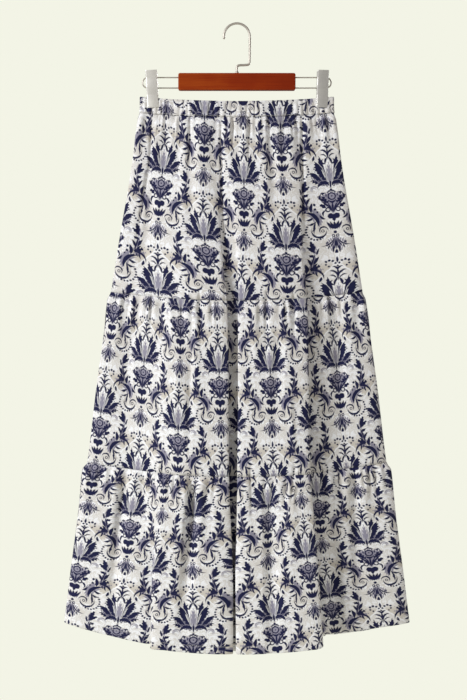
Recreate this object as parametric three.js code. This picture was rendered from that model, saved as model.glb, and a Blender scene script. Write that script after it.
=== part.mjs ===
import * as THREE from 'three';

// Maxi skirt of three gathered tiers on an elastic waistband, held by two clips on a wooden bar hanger.
// Millimetres, +Z up. The front of the skirt faces -Y and the origin is the underside of the hook's top.

// Cloth
const CLOTH_WALL = 1.3;
const BAND_WALL = 2.4;
const SEAM_GAP = 0.3;

// Heights of the seams at the side edges of the skirt
const WAIST_TOP = -119;
const BAND_SEAM = -144;
const FIRST_SEAM = -436;
const SECOND_SEAM = -714;
const HEM = -975;

// Hanger
const HOOK_WIRE = 3.9;
const HOOK_ARC = 21;
const SHANK_FOOT = -66;
const BAR = { length: 191, height: 27.7, depth: 13, top: -79.7, bevel: 1.2 };
const RAIL_WIRE = 2.2;
const RAILS = { upper: -86.4, lower: -103.5, reach: 154.8 };
const CLIP = { width: 18.8, plate: 1.2, top: -75.5, bottom: -136, barrel: 6.9, barrelLength: 12 };
const CLIPS = [
  { name: 'left', x: -138.6, tilt: -2.9 },
  { name: 'right', x: 139.8, tilt: 1.5 },
];

// Cross-sections of the hanging cloth, one row for each height at the side edges: half width, how much
// lower the middle hangs, depth and length of the rounded side edge, fullness of the front and back
// beyond it, and how far back the side edge lies.
const SECTIONS = [
  { z: WAIST_TOP, half: 157, sag: 8, edge: 2.6, round: 4, front: 6, back: 5, side: 0 },
  { z: BAND_SEAM, half: 158, sag: 8, edge: 2.7, round: 4, front: 7, back: 6, side: 0 },
  { z: -240, half: 172.5, sag: 10, edge: 5, round: 14, front: 12, back: 8, side: 1 },
  { z: -350, half: 191.5, sag: 12, edge: 7, round: 24, front: 15, back: 10, side: 2 },
  { z: FIRST_SEAM, half: 205, sag: 15, edge: 8.5, round: 30, front: 17, back: 11, side: 3 },
  { z: -575, half: 227, sag: 18, edge: 10, round: 38, front: 20, back: 13, side: 4 },
  { z: SECOND_SEAM, half: 244, sag: 20, edge: 12, round: 46, front: 22, back: 15, side: 5 },
  { z: -850, half: 266, sag: 29, edge: 13, round: 52, front: 24, back: 17, side: 6 },
  { z: HEM, half: 282, sag: 40, edge: 14, round: 56, front: 25, back: 18, side: 7 },
];

// Part of each side edge that stays flat, so that the clips close on it
const FLAT_EDGE = 30;
const FULLNESS_RUN = 0.55;

// The panel that stands forward between its left and right edges, one table for each face. Lean is how
// far an edge overhangs the cloth beside it, and lift is how much higher the cloth beside the right
// edge hangs.
const PANELS = {
  front: [
    { z: -200, left: -118, right: 109, height: 0, leftRun: 60, rightRun: 26, leftLean: 0, rightLean: 0, lift: 0 },
    { z: -330, left: -120, right: 110, height: 6, leftRun: 60, rightRun: 18, leftLean: 0, rightLean: 3, lift: 0 },
    { z: -470, left: -122, right: 112, height: 13, leftRun: 60, rightRun: 15, leftLean: 0, rightLean: 8, lift: 0 },
    { z: -714, left: -128, right: 114, height: 20, leftRun: 48, rightRun: 14, leftLean: 0, rightLean: 10, lift: 0 },
    { z: -830, left: -131, right: 122, height: 25, leftRun: 18, rightRun: 14, leftLean: 9, rightLean: 12, lift: 6 },
    { z: HEM, left: -133, right: 132, height: 29, leftRun: 16, rightRun: 14, leftLean: 12, rightLean: 12, lift: 21 },
  ],
  back: [
    { z: -260, left: -70, right: 96, height: 0, leftRun: 40, rightRun: 60, leftLean: 0, rightLean: 0, lift: 0 },
    { z: -520, left: -84, right: 104, height: 8, leftRun: 20, rightRun: 40, leftLean: 5, rightLean: 0, lift: 0 },
    { z: -714, left: -92, right: 118, height: 11, leftRun: 16, rightRun: 22, leftLean: 6, rightLean: 4, lift: 0 },
    { z: HEM, left: -112, right: 146, height: 16, leftRun: 16, rightRun: 18, leftLean: 8, rightLean: 8, lift: 4 },
  ],
};

// Deep pleats: the mouth's place, the depth, the run of each wall, and how far its lips close over it
const PLEATS = {
  front: [
    { z: -150, x: -38, depth: 0, run: 12, lean: 0 },
    { z: -300, x: -17, depth: 6, run: 12, lean: 2 },
    { z: -430, x: -7, depth: 15, run: 12, lean: 7.5 },
    { z: -740, x: -6, depth: 24, run: 12, lean: 11 },
    { z: -850, x: -4, depth: 28, run: 12, lean: 14.5 },
    { z: HEM, x: -4, depth: 30, run: 12, lean: 15 },
  ],
  back: [
    { z: -180, x: 30, depth: 0, run: 12, lean: 0 },
    { z: -430, x: 26, depth: 9, run: 12, lean: 6 },
    { z: -714, x: 34, depth: 16, run: 12, lean: 11 },
    { z: HEM, x: 40, depth: 22, run: 12, lean: 14 },
  ],
};

// Soft troughs, one row each: where one starts, where it is deepest and where it ends
const TROUGHS = {
  front: [
    { startZ: -150, startX: -75, fullZ: -220, fullX: -73, endZ: -440, endX: -77, depth: 3.5, run: 13 },
    { startZ: -150, startX: 54, fullZ: -200, fullX: 58, endZ: -330, endX: 62, depth: 3.5, run: 12 },
    { startZ: -190, startX: -140, fullZ: -290, fullX: -141, endZ: -430, endX: -156, depth: 4, run: 14 },
    { startZ: -430, startX: -80, fullZ: -500, fullX: -79, endZ: -700, endX: -76, depth: 6, run: 16 },
    { startZ: -430, startX: 62, fullZ: -520, fullX: 66, endZ: -700, endX: 60, depth: 4.5, run: 15 },
    { startZ: -430, startX: -168, fullZ: -520, fullX: -176, endZ: -700, endX: -190, depth: 4, run: 15 },
    { startZ: -430, startX: 158, fullZ: -540, fullX: 166, endZ: -700, endX: 176, depth: 4.5, run: 16 },
    { startZ: -700, startX: -71, fullZ: -760, fullX: -70, endZ: -1000, endX: -92, depth: 13, run: 16 },
    { startZ: -700, startX: 54, fullZ: -770, fullX: 55, endZ: -1100, endX: 60, depth: 9, run: 18 },
    { startZ: -690, startX: -179, fullZ: -780, fullX: -190, endZ: -1000, endX: -210, depth: 9, run: 14 },
    { startZ: -700, startX: 184, fullZ: -770, fullX: 188, endZ: -1000, endX: 208, depth: 7, run: 15 },
    { startZ: -740, startX: 150, fullZ: -900, fullX: 158, endZ: -1300, endX: 176, depth: 8, run: 22 },
  ],
  back: [
    { startZ: -150, startX: -60, fullZ: -230, fullX: -62, endZ: -430, endX: -70, depth: 3.5, run: 13 },
    { startZ: -150, startX: 104, fullZ: -240, fullX: 108, endZ: -420, endX: 122, depth: 3.5, run: 14 },
    { startZ: -430, startX: -150, fullZ: -520, fullX: -158, endZ: -700, endX: -172, depth: 5, run: 16 },
    { startZ: -430, startX: -18, fullZ: -540, fullX: -22, endZ: -710, endX: -26, depth: 6, run: 16 },
    { startZ: -430, startX: 156, fullZ: -560, fullX: 168, endZ: -710, endX: 182, depth: 5, run: 16 },
    { startZ: -700, startX: -176, fullZ: -790, fullX: -188, endZ: -1000, endX: -206, depth: 9, run: 15 },
    { startZ: -700, startX: -28, fullZ: -780, fullX: -32, endZ: -1100, endX: -44, depth: 9, run: 17 },
    { startZ: -700, startX: 192, fullZ: -780, fullX: 200, endZ: -1100, endX: 216, depth: 8, run: 16 },
  ],
};

// Gathers below each seam: their number on each face, their depth, how deep they are in the seam
// itself, how far they reach down and how much the cloth swells out there
const GATHERS = {
  band: { count: 16, depth: 0.5, inSeam: 1, reach: 200, swell: 0 },
  tier1: { count: 16, depth: 2.4, inSeam: 0.3, reach: 70, swell: 2 },
  tier2: { count: 20, depth: 2.8, inSeam: 0.3, reach: 72, swell: 3 },
  tier3: { count: 22, depth: 3, inSeam: 0.3, reach: 76, swell: 4 },
};
const GATHER_RISE = 14;

// Lean of a fold that presses the gathers beside it quite flat
const SHARP_LEAN = 6;
const COLUMNS_PER_GATHER = 4;

// Distances of the rows of points below a tier's seam, the last three as parts of what is left
const GATHER_ROWS = [0, GATHER_RISE, 34, 76];
const LOWER_ROWS = [1 / 3, 2 / 3, 1];

// Columns crowd where the cloth turns: millimetres of cloth that a turn of one radian stands for
const TURN_WEIGHT = 10;
const CURVE_SAMPLES = 720;

const clothMaterial = () => new THREE.MeshStandardMaterial({ color: 0xbfbcc4, roughness: 0.85, metalness: 0 });
const woodMaterial = () => new THREE.MeshStandardMaterial({ color: 0x86300b, roughness: 0.35, metalness: 0 });
const nickelMaterial = () => new THREE.MeshStandardMaterial({ color: 0xb5b2a8, roughness: 0.3, metalness: 1 });
const clipMaterial = () => new THREE.MeshStandardMaterial({ color: 0xa3a096, roughness: 0.42, metalness: 1 });

const mix = (a, b, t) => a + (b - a) * t;
const clamp01 = (t) => Math.min(Math.max(t, 0), 1);

function smooth(t) {
  const c = clamp01(t);
  return c * c * (3 - 2 * c);
}

// One column of a table at height z, eased through the table's rows
function columnAt(rows, key, z) {
  const last = rows.length - 1;
  if (z >= rows[0].z) {
    return rows[0][key];
  }
  if (z <= rows[last].z) {
    return rows[last][key];
  }
  const i = rows.findIndex((row) => row.z < z) - 1;
  const slope = (a, b) => (rows[b][key] - rows[a][key]) / (rows[b].z - rows[a].z);
  const startSlope = slope(Math.max(i - 1, 0), i + 1);
  const endSlope = slope(i, Math.min(i + 2, last));
  const span = rows[i + 1].z - rows[i].z;
  const t = (z - rows[i].z) / span;
  const bow = t * (1 - t) * span;
  const straight = mix(rows[i][key], rows[i + 1][key], smooth(t));
  return straight + bow * ((1 - t) * startSlope - t * endSlope);
}

// All columns of a table at height z
function rowAt(rows, z) {
  return Object.fromEntries(Object.keys(rows[0]).map((key) => [key, columnAt(rows, key, z)]));
}

// A rise from 0 to 1 around an edge, and the sideways shift that makes its lip overhang
function edgeAt(x, edge, run, lean) {
  const q = (x - edge) / run;
  if (Math.abs(q) >= 1) {
    return { height: q > 0 ? 1 : 0, shift: 0 };
  }
  return { height: (1 + Math.sin(q * Math.PI / 2)) / 2, shift: -lean * Math.sin(q * Math.PI) };
}

// How far the gathers are pressed flat near a fold of the given reach and sharpness
function calmAt(x, place, reach, sharpness) {
  const near = 1 - smooth((Math.abs(x - place) - reach) / (reach / 2));
  return 1 - near * clamp01(sharpness);
}

function panelAt(face, x, z) {
  const panel = rowAt(PANELS[face], z);
  const left = edgeAt(x, panel.left, panel.leftRun, panel.leftLean);
  const right = edgeAt(x, panel.right, panel.rightRun, panel.rightLean);
  return {
    out: panel.height * left.height * (1 - right.height),
    shift: left.shift + right.shift,
    lift: panel.lift * right.height,
    calm: calmAt(x, panel.left, panel.leftRun, panel.leftLean / SHARP_LEAN)
      * calmAt(x, panel.right, panel.rightRun, panel.rightLean / SHARP_LEAN),
  };
}

function pleatAt(face, x, z) {
  const pleat = rowAt(PLEATS[face], z);
  const fall = edgeAt(x, pleat.x - pleat.run, pleat.run, pleat.lean);
  const rise = edgeAt(x, pleat.x + pleat.run, pleat.run, pleat.lean);
  return {
    out: -pleat.depth * (fall.height - rise.height),
    shift: fall.shift + rise.shift,
    calm: calmAt(x, pleat.x, 2 * pleat.run, pleat.lean / SHARP_LEAN),
  };
}

function troughAt(trough, x, z) {
  const { startZ, startX, fullZ, fullX, endZ, endX, depth, run } = trough;
  if (z > startZ || z < endZ) {
    return 0;
  }
  const falling = z > fullZ;
  const t = falling ? (startZ - z) / (startZ - fullZ) : (fullZ - z) / (fullZ - endZ);
  const place = falling ? mix(startX, fullX, t) : mix(fullX, endX, t);
  const strength = falling ? smooth(t) : 1 - smooth(t);
  const q = clamp01(Math.abs(x - place) / run);
  return -depth * strength * (1 + Math.cos(q * Math.PI)) / 2;
}

// One point of a face's middle surface, from its place x across the flat width and the height z at
// the side edge
function clothPoint(face, section, x, z) {
  const fromEdge = section.half - Math.abs(x);
  const q = clamp01(fromEdge / section.round);
  const roundEdge = section.edge * Math.sqrt(1 - (1 - q) ** 2);
  const fullness = section[face] * smooth((fromEdge - FLAT_EDGE) / (FULLNESS_RUN * section.half));
  const panel = panelAt(face, x, z);
  const pleat = pleatAt(face, x, z);
  const troughs = TROUGHS[face].reduce((sum, trough) => sum + troughAt(trough, x, z), 0);
  const inner = smooth((fromEdge - section.round / 2) / section.round);
  const out = SEAM_GAP / 2 + roundEdge + fullness + (panel.out + pleat.out + troughs) * inner;
  const drop = 1 - (x / section.half) ** 2;
  const direction = face === 'front' ? -1 : 1;
  return {
    x: x + panel.shift + pleat.shift,
    y: section.side + direction * out,
    z: z - (section.sag - panel.lift) * drop,
    calm: panel.calm * pleat.calm,
  };
}

// The line of a face at height z from the left side edge to the right one, and how far along it and
// round its turns each of its points is
function clothLine(face, z) {
  const section = rowAt(SECTIONS, z);
  const points = [];
  const travel = [0];
  for (let i = 0; i <= CURVE_SAMPLES; i += 1) {
    const x = section.half * Math.sin((i / CURVE_SAMPLES - 0.5) * Math.PI);
    points.push(clothPoint(face, section, x, z));
  }
  let heading = null;
  for (let i = 1; i <= CURVE_SAMPLES; i += 1) {
    const stepX = points[i].x - points[i - 1].x;
    const stepY = points[i].y - points[i - 1].y;
    const newHeading = Math.atan2(stepY, stepX);
    const turn = heading === null ? 0 : Math.abs(newHeading - heading);
    heading = newHeading;
    travel.push(travel[i - 1] + Math.hypot(stepX, stepY) + TURN_WEIGHT * Math.min(turn, 2 * Math.PI - turn));
  }
  return { points, travel };
}

// Points at equal steps of travel along a line
function spacedPoints(line, columns) {
  const total = line.travel[CURVE_SAMPLES];
  const spaced = [];
  let i = 1;
  for (let column = 0; column <= columns; column += 1) {
    const target = total * column / columns;
    while (i < CURVE_SAMPLES && line.travel[i] < target) {
      i += 1;
    }
    const t = clamp01((target - line.travel[i - 1]) / (line.travel[i] - line.travel[i - 1]));
    const a = line.points[i - 1];
    const b = line.points[i];
    const between = (key) => mix(a[key], b[key], t);
    spaced.push({ x: between('x'), y: between('y'), z: between('z'), calm: between('calm') });
  }
  return spaced;
}

// Outward direction in plan at each point of a line, lengthened at corners so that the wall keeps its
// thickness there
function outwardNormals(points, face) {
  const turn = face === 'front' ? 1 : -1;
  const last = points.length - 1;
  const segmentNormal = (i) => {
    const stepX = points[i + 1].x - points[i].x;
    const stepY = points[i + 1].y - points[i].y;
    return new THREE.Vector2(turn * stepY, -turn * stepX).normalize();
  };
  return points.map((point, i) => {
    if (i === 0 || i === last) {
      return new THREE.Vector2(i === 0 ? -1 : 1, 0);
    }
    const before = segmentNormal(i - 1);
    const normal = before.clone().add(segmentNormal(i)).normalize();
    return normal.multiplyScalar(1 / Math.max(normal.dot(before), 0.75));
  });
}

function gatherDepthAt(gathers, distance) {
  const rise = mix(gathers.inSeam, 1, smooth(distance / GATHER_RISE));
  return gathers.depth * rise * (1 - smooth((distance - GATHER_RISE) / gathers.reach));
}

function swellAt(gathers, distance) {
  return gathers.swell * smooth(distance / GATHER_RISE) * (1 - smooth((distance - GATHER_RISE) / gathers.reach));
}

// One row of the wall: its outer and inner points, with the gathers as waves of uneven depth
function wallRow(face, z, distance, columns, gathers, thickness) {
  const middle = spacedPoints(clothLine(face, z), columns);
  const depth = gatherDepthAt(gathers, distance);
  const swell = swellAt(gathers, distance);
  const normals = outwardNormals(middle, face);
  const direction = face === 'front' ? -1 : 1;
  const waved = middle.map((point, i) => {
    const phase = i / columns * gathers.count * 2 * Math.PI;
    const uneven = 0.75 + 0.25 * Math.sin(phase * 0.37 + 1.3);
    const offset = point.calm * (swell + depth * uneven * Math.sin(phase));
    const pushed = direction * swell * (1 - point.calm);
    return { x: point.x + normals[i].x * offset, y: point.y + normals[i].y * offset + pushed, z: point.z };
  });
  const wallNormals = outwardNormals(waved, face);
  const moved = (distanceOut) => waved.map((point, i) => [
    point.x + wallNormals[i].x * distanceOut,
    point.y + wallNormals[i].y * distanceOut,
    point.z,
  ]);
  return { outer: moved(thickness / 2), inner: moved(-thickness / 2) };
}

// A closed body from rows of outer and inner points; a row may have half the columns of the one above
function wallGeometry(rows, face) {
  const corners = [];
  const flip = face === 'back';
  const triangle = (a, b, c) => corners.push(...a, ...(flip ? c : b), ...(flip ? b : c));
  const quad = (a, b, c, d) => {
    triangle(a, b, c);
    triangle(a, c, d);
  };
  const strip = (upper, lower, outside) => {
    const face3 = (a, b, c) => (outside ? triangle(a, b, c) : triangle(a, c, b));
    const ratio = (upper.length - 1) / (lower.length - 1);
    for (let i = 0; i < lower.length - 1; i += 1) {
      const k = i * ratio;
      if (ratio === 2) {
        face3(upper[k], lower[i], upper[k + 1]);
        face3(lower[i], lower[i + 1], upper[k + 1]);
        face3(upper[k + 1], lower[i + 1], upper[k + 2]);
      } else {
        face3(upper[i], lower[i], lower[i + 1]);
        face3(upper[i], lower[i + 1], upper[i + 1]);
      }
    }
  };
  for (let r = 0; r < rows.length - 1; r += 1) {
    const upper = rows[r];
    const lower = rows[r + 1];
    strip(upper.outer, lower.outer, true);
    strip(upper.inner, lower.inner, false);
    quad(upper.inner[0], lower.inner[0], lower.outer[0], upper.outer[0]);
    quad(upper.outer.at(-1), lower.outer.at(-1), lower.inner.at(-1), upper.inner.at(-1));
  }
  const top = rows[0];
  const bottom = rows.at(-1);
  for (let i = 0; i < top.outer.length - 1; i += 1) {
    quad(top.inner[i], top.outer[i], top.outer[i + 1], top.inner[i + 1]);
  }
  for (let i = 0; i < bottom.outer.length - 1; i += 1) {
    quad(bottom.outer[i], bottom.inner[i], bottom.inner[i + 1], bottom.outer[i + 1]);
  }
  const geometry = new THREE.BufferGeometry();
  geometry.setAttribute('position', new THREE.Float32BufferAttribute(corners, 3));
  geometry.computeVertexNormals();
  return geometry;
}

function addMesh(group, name, geometry, material) {
  const mesh = new THREE.Mesh(geometry, material);
  mesh.name = name;
  group.add(mesh);
  return mesh;
}

// One gathered tier between two seams; where `coarse` is set its lower rows have half the columns
function tierWall(face, topZ, bottomZ, gathers, coarse) {
  const top = topZ - SEAM_GAP / 2;
  const height = top - bottomZ - (bottomZ === HEM ? 0 : SEAM_GAP / 2);
  const lastGatherRow = GATHER_ROWS.at(-1);
  const columns = gathers.count * COLUMNS_PER_GATHER;
  const distances = [
    ...GATHER_ROWS,
    ...LOWER_ROWS.map((part) => mix(lastGatherRow, height, part)),
  ];
  const rows = distances.map((distance) => {
    const share = coarse && distance >= lastGatherRow ? 2 : 1;
    return wallRow(face, top - distance, distance, columns / share, gathers, CLOTH_WALL);
  });
  return wallGeometry(rows, face);
}

function bandWall(face) {
  const columns = GATHERS.band.count * COLUMNS_PER_GATHER;
  const height = WAIST_TOP - BAND_SEAM - SEAM_GAP / 2;
  const rows = [0, height / 2, height].map((distance) => (
    wallRow(face, WAIST_TOP - distance, distance, columns, GATHERS.band, BAND_WALL)
  ));
  return wallGeometry(rows, face);
}

function addSkirt(group) {
  for (const face of ['front', 'back']) {
    const isBack = face === 'back';
    addMesh(group, `waistband_${face}`, bandWall(face), clothMaterial());
    addMesh(group, `tier1_${face}`, tierWall(face, BAND_SEAM, FIRST_SEAM, GATHERS.tier1, isBack), clothMaterial());
    addMesh(group, `tier2_${face}`, tierWall(face, FIRST_SEAM, SECOND_SEAM, GATHERS.tier2, isBack), clothMaterial());
    addMesh(group, `tier3_${face}`, tierWall(face, SECOND_SEAM, HEM, GATHERS.tier3, isBack), clothMaterial());
  }
}

// A round wire along a curve through points in the XZ plane
function wireGeometry(points, diameter, steps, sides) {
  const places = points.map(([x, z]) => new THREE.Vector3(x, 0, z));
  const path = new THREE.CatmullRomCurve3(places, false, 'centripetal');
  const section = new THREE.Shape().absarc(0, 0, diameter / 2, 0, 2 * Math.PI);
  return new THREE.ExtrudeGeometry(section, { steps, curveSegments: sides / 2, extrudePath: path });
}

function arcPoints(centreX, centreZ, radius, fromDegrees, toDegrees, count) {
  return Array.from({ length: count + 1 }, (_, i) => {
    const angle = THREE.MathUtils.degToRad(mix(fromDegrees, toDegrees, i / count));
    return [centreX + radius * Math.cos(angle), centreZ + radius * Math.sin(angle)];
  });
}

// The hook: an open arc over the rod, a straight shank, a jog back to the middle and a foot in the bar
function addHook(group) {
  const centreZ = HOOK_WIRE / 2 - HOOK_ARC;
  const jog = 4;
  const points = [
    ...arcPoints(0, centreZ, HOOK_ARC, 188, 0, 12),
    [HOOK_ARC, centreZ - 16],
    [HOOK_ARC - 0.4, SHANK_FOOT + 2 * jog],
    [HOOK_ARC - 1.6, SHANK_FOOT + jog / 3],
    [HOOK_ARC - 2 * jog, SHANK_FOOT],
    [jog, SHANK_FOOT - 0.4],
    [0.8, SHANK_FOOT - jog / 2],
    [0, SHANK_FOOT - 2 * jog],
    [0, BAR.top + SEAM_GAP],
  ];
  addMesh(group, 'hook', wireGeometry(points, HOOK_WIRE, 44, 10), nickelMaterial());
}

// The wooden bar, a bevelled block with softened corners
function addBar(group) {
  const halfLength = BAR.length / 2 - BAR.bevel;
  const halfHeight = BAR.height / 2 - BAR.bevel;
  const corner = 2;
  const shape = new THREE.Shape();
  shape.moveTo(-halfLength + corner, -halfHeight);
  shape.lineTo(halfLength - corner, -halfHeight);
  shape.quadraticCurveTo(halfLength, -halfHeight, halfLength, -halfHeight + corner);
  shape.lineTo(halfLength, halfHeight - corner);
  shape.quadraticCurveTo(halfLength, halfHeight, halfLength - corner, halfHeight);
  shape.lineTo(-halfLength + corner, halfHeight);
  shape.quadraticCurveTo(-halfLength, halfHeight, -halfLength, halfHeight - corner);
  shape.lineTo(-halfLength, -halfHeight + corner);
  shape.quadraticCurveTo(-halfLength, -halfHeight, -halfLength + corner, -halfHeight);
  const depth = BAR.depth - 2 * BAR.bevel;
  const geometry = new THREE.ExtrudeGeometry(shape, {
    depth,
    curveSegments: 3,
    bevelThickness: BAR.bevel,
    bevelSize: BAR.bevel,
    bevelSegments: 2,
  });
  geometry.translate(0, 0, -depth / 2);
  const bar = addMesh(group, 'hanger_bar', geometry, woodMaterial());
  bar.rotation.x = Math.PI / 2;
  bar.position.z = BAR.top - BAR.height / 2;
}

// One end of the pair of rails: a wire that leaves the bar, turns at its end and comes back
function addRail(group, name, side) {
  const radius = (RAILS.upper - RAILS.lower) / 2;
  const start = BAR.length / 2 + SEAM_GAP;
  const turnX = RAILS.reach - RAIL_WIRE / 2 - radius;
  const middleZ = RAILS.lower + radius;
  const straight = [start, mix(start, turnX, 1 / 3), mix(start, turnX, 2 / 3)];
  const points = [
    ...straight.map((x) => [x, RAILS.upper]),
    ...arcPoints(turnX, middleZ, radius, 90, -90, 6),
    ...straight.reverse().map((x) => [x, RAILS.lower]),
  ].map(([x, z]) => [side * x, z]);
  addMesh(group, `rail_${name}`, wireGeometry(points, RAIL_WIRE, 24, 8), nickelMaterial());
}

// One clip: a front and a back plate on a spring barrel that rides between the two wires
function addClip(group, { name, x, tilt }) {
  const barrelZ = (RAILS.upper + RAILS.lower) / 2;
  const seat = CLIP.barrel + SEAM_GAP;
  const grip = SECTIONS[0].edge + BAND_WALL / 2 + 2 * SEAM_GAP;
  const jawTop = WAIST_TOP + 4;
  const clip = new THREE.Group();
  clip.position.set(x, 0, barrelZ);
  clip.rotation.y = THREE.MathUtils.degToRad(tilt);
  group.add(clip);
  const innerLine = [
    [seat + 2.6, CLIP.top],
    [seat, barrelZ + CLIP.barrel],
    [seat, barrelZ - CLIP.barrel],
    [grip, jawTop],
    [grip, CLIP.bottom],
  ];
  for (const [faceName, direction] of [['front', -1], ['back', 1]]) {
    const outerLine = innerLine.map(([y, z]) => [y + CLIP.plate, z]).reverse();
    const outline = [...innerLine, ...outerLine].map(([y, z]) => (
      new THREE.Vector2(direction * y, z - barrelZ)
    ));
    const geometry = new THREE.ExtrudeGeometry(new THREE.Shape(outline), {
      depth: CLIP.width,
      bevelEnabled: false,
    });
    geometry.translate(0, 0, -CLIP.width / 2);
    const turned = new THREE.Matrix4().makeBasis(
      new THREE.Vector3(0, 1, 0),
      new THREE.Vector3(0, 0, 1),
      new THREE.Vector3(1, 0, 0),
    );
    geometry.applyMatrix4(turned);
    addMesh(clip, `clip_${name}_${faceName}`, geometry, clipMaterial());
  }
  const barrel = new THREE.CylinderGeometry(CLIP.barrel, CLIP.barrel, CLIP.barrelLength, 24);
  addMesh(clip, `clip_${name}_spring`, barrel, clipMaterial()).rotation.z = Math.PI / 2;
}

const part = new THREE.Group();
addHook(part);
addBar(part);
addRail(part, 'left', -1);
addRail(part, 'right', 1);
CLIPS.forEach((clip) => addClip(part, clip));
addSkirt(part);

export default part;
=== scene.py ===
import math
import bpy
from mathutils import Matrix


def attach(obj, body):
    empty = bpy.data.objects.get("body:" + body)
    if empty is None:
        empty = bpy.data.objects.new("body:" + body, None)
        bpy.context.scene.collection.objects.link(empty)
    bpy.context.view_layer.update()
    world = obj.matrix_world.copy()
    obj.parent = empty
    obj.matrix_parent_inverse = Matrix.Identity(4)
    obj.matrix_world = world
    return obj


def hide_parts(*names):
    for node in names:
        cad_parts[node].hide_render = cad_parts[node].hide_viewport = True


bl_info = {
    "name": "Tiered maxi skirt on a clip hanger",
    "version": (1, 0, 0),
    "blender": (4, 5, 0),
    "location": "View3D > Sidebar > Skirt",
    "description": "Cloth, print, sewing and hanger finishes for the packed skirt",
    "category": "Object",
}

import bmesh
import bpy
import numpy as np
from mathutils import Matrix, Vector

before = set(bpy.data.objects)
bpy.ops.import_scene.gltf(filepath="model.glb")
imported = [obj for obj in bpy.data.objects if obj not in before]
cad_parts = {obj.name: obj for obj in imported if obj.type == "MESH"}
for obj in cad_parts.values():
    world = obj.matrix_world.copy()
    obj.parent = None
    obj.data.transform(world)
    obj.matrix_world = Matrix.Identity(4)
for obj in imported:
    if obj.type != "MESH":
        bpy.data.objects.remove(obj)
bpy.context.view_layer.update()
MM = 0.001


def table(columns, *rows):
    """Rows of millimetres under named columns, as arrays in metres."""
    return dict(zip(columns.split(), np.array(rows, float).T * MM))


# Heights of the seams at the side edges of the skirt
WAIST_TOP = -0.119
BAND_SEAM = -0.144
FIRST_SEAM = -0.436
SECOND_SEAM = -0.714
HEM = -0.975
SEAM_GAP = 0.0003
CAD_BAND = 0.0024

# Cross-sections of the hanging cloth at heights z: half width, how much lower the middle hangs, depth
# and length of the rounded side edge, fullness of each face, and how far back the side edge lies
SECTIONS = table(
    "z half sag edge round front back side",
    (-119, 157, 8, 2.6, 4, 6, 5, 0),
    (-144, 158, 8, 2.7, 4, 7, 6, 0),
    (-240, 172.5, 10, 5, 14, 12, 8, 1),
    (-350, 191.5, 12, 7, 24, 15, 10, 2),
    (-436, 205, 15, 8.5, 30, 17, 11, 3),
    (-575, 227, 18, 10, 38, 20, 13, 4),
    (-714, 244, 20, 12, 46, 22, 15, 5),
    (-850, 266, 29, 13, 52, 24, 17, 6),
    (-975, 282, 40, 14, 56, 25, 18, 7),
)
# Width beside the rounded edge that stays flat, and the share of the half width over which a face fills out
FLAT_EDGE = 0.03
FULLNESS_RUN = 0.55

# The panel that stands forward between its left and right edges on each face. Lean is how far an edge
# overhangs, and lift is how much higher the cloth beyond the right edge hangs.
PANEL_COLUMNS = "z left right height left_run right_run left_lean right_lean lift"
PANELS = {
    "front": table(
        PANEL_COLUMNS,
        (-200, -118, 109, 0, 60, 26, 0, 0, 0),
        (-330, -120, 110, 6, 60, 18, 0, 3, 0),
        (-470, -122, 112, 13, 60, 15, 0, 8, 0),
        (-714, -128, 114, 20, 48, 14, 0, 10, 0),
        (-830, -131, 122, 25, 18, 14, 9, 12, 6),
        (-975, -133, 132, 29, 16, 14, 12, 12, 21),
    ),
    "back": table(
        PANEL_COLUMNS,
        (-260, -70, 96, 0, 40, 60, 0, 0, 0),
        (-520, -84, 104, 8, 20, 40, 5, 0, 0),
        (-714, -92, 118, 11, 16, 22, 6, 4, 0),
        (-975, -112, 146, 16, 16, 18, 8, 8, 4),
    ),
}

# Deep pleats: the mouth's place, the depth, the run of each wall and how far its lips close over it
PLEAT_COLUMNS = "z x depth run lean"
PLEATS = {
    "front": table(
        PLEAT_COLUMNS,
        (-150, -38, 0, 12, 0),
        (-300, -17, 6, 12, 2),
        (-430, -7, 15, 12, 7.5),
        (-740, -6, 24, 12, 11),
        (-850, -4, 28, 12, 14.5),
        (-975, -4, 30, 12, 15),
    ),
    "back": table(
        PLEAT_COLUMNS,
        (-180, 30, 0, 12, 0),
        (-430, 26, 9, 12, 6),
        (-714, 34, 16, 12, 11),
        (-975, 40, 22, 12, 14),
    ),
}

# Soft troughs: where each starts, where it is deepest and where it ends
TROUGH_COLUMNS = "start_z start_x full_z full_x end_z end_x depth run"
TROUGHS = {
    "front": table(
        TROUGH_COLUMNS,
        (-150, -75, -220, -73, -440, -77, 3.5, 13),
        (-150, 54, -200, 58, -330, 62, 3.5, 12),
        (-190, -140, -290, -141, -430, -156, 4, 14),
        (-430, -80, -500, -79, -700, -76, 6, 16),
        (-430, 62, -520, 66, -700, 60, 4.5, 15),
        (-430, -168, -520, -176, -700, -190, 4, 15),
        (-430, 158, -540, 166, -700, 176, 4.5, 16),
        (-700, -71, -760, -70, -1000, -92, 13, 16),
        (-700, 54, -770, 55, -1100, 60, 9, 18),
        (-690, -179, -780, -190, -1000, -210, 9, 14),
        (-700, 184, -770, 188, -1000, 208, 7, 15),
        (-740, 150, -900, 158, -1300, 176, 8, 22),
    ),
    "back": table(
        TROUGH_COLUMNS,
        (-150, -60, -230, -62, -430, -70, 3.5, 13),
        (-150, 104, -240, 108, -420, 122, 3.5, 14),
        (-430, -150, -520, -158, -700, -172, 5, 16),
        (-430, -18, -540, -22, -710, -26, 6, 16),
        (-430, 156, -560, 168, -710, 182, 5, 16),
        (-700, -176, -790, -188, -1000, -206, 9, 15),
        (-700, -28, -780, -32, -1100, -44, 9, 17),
        (-700, 192, -780, 200, -1100, 216, 8, 16),
    ),
}

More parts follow.
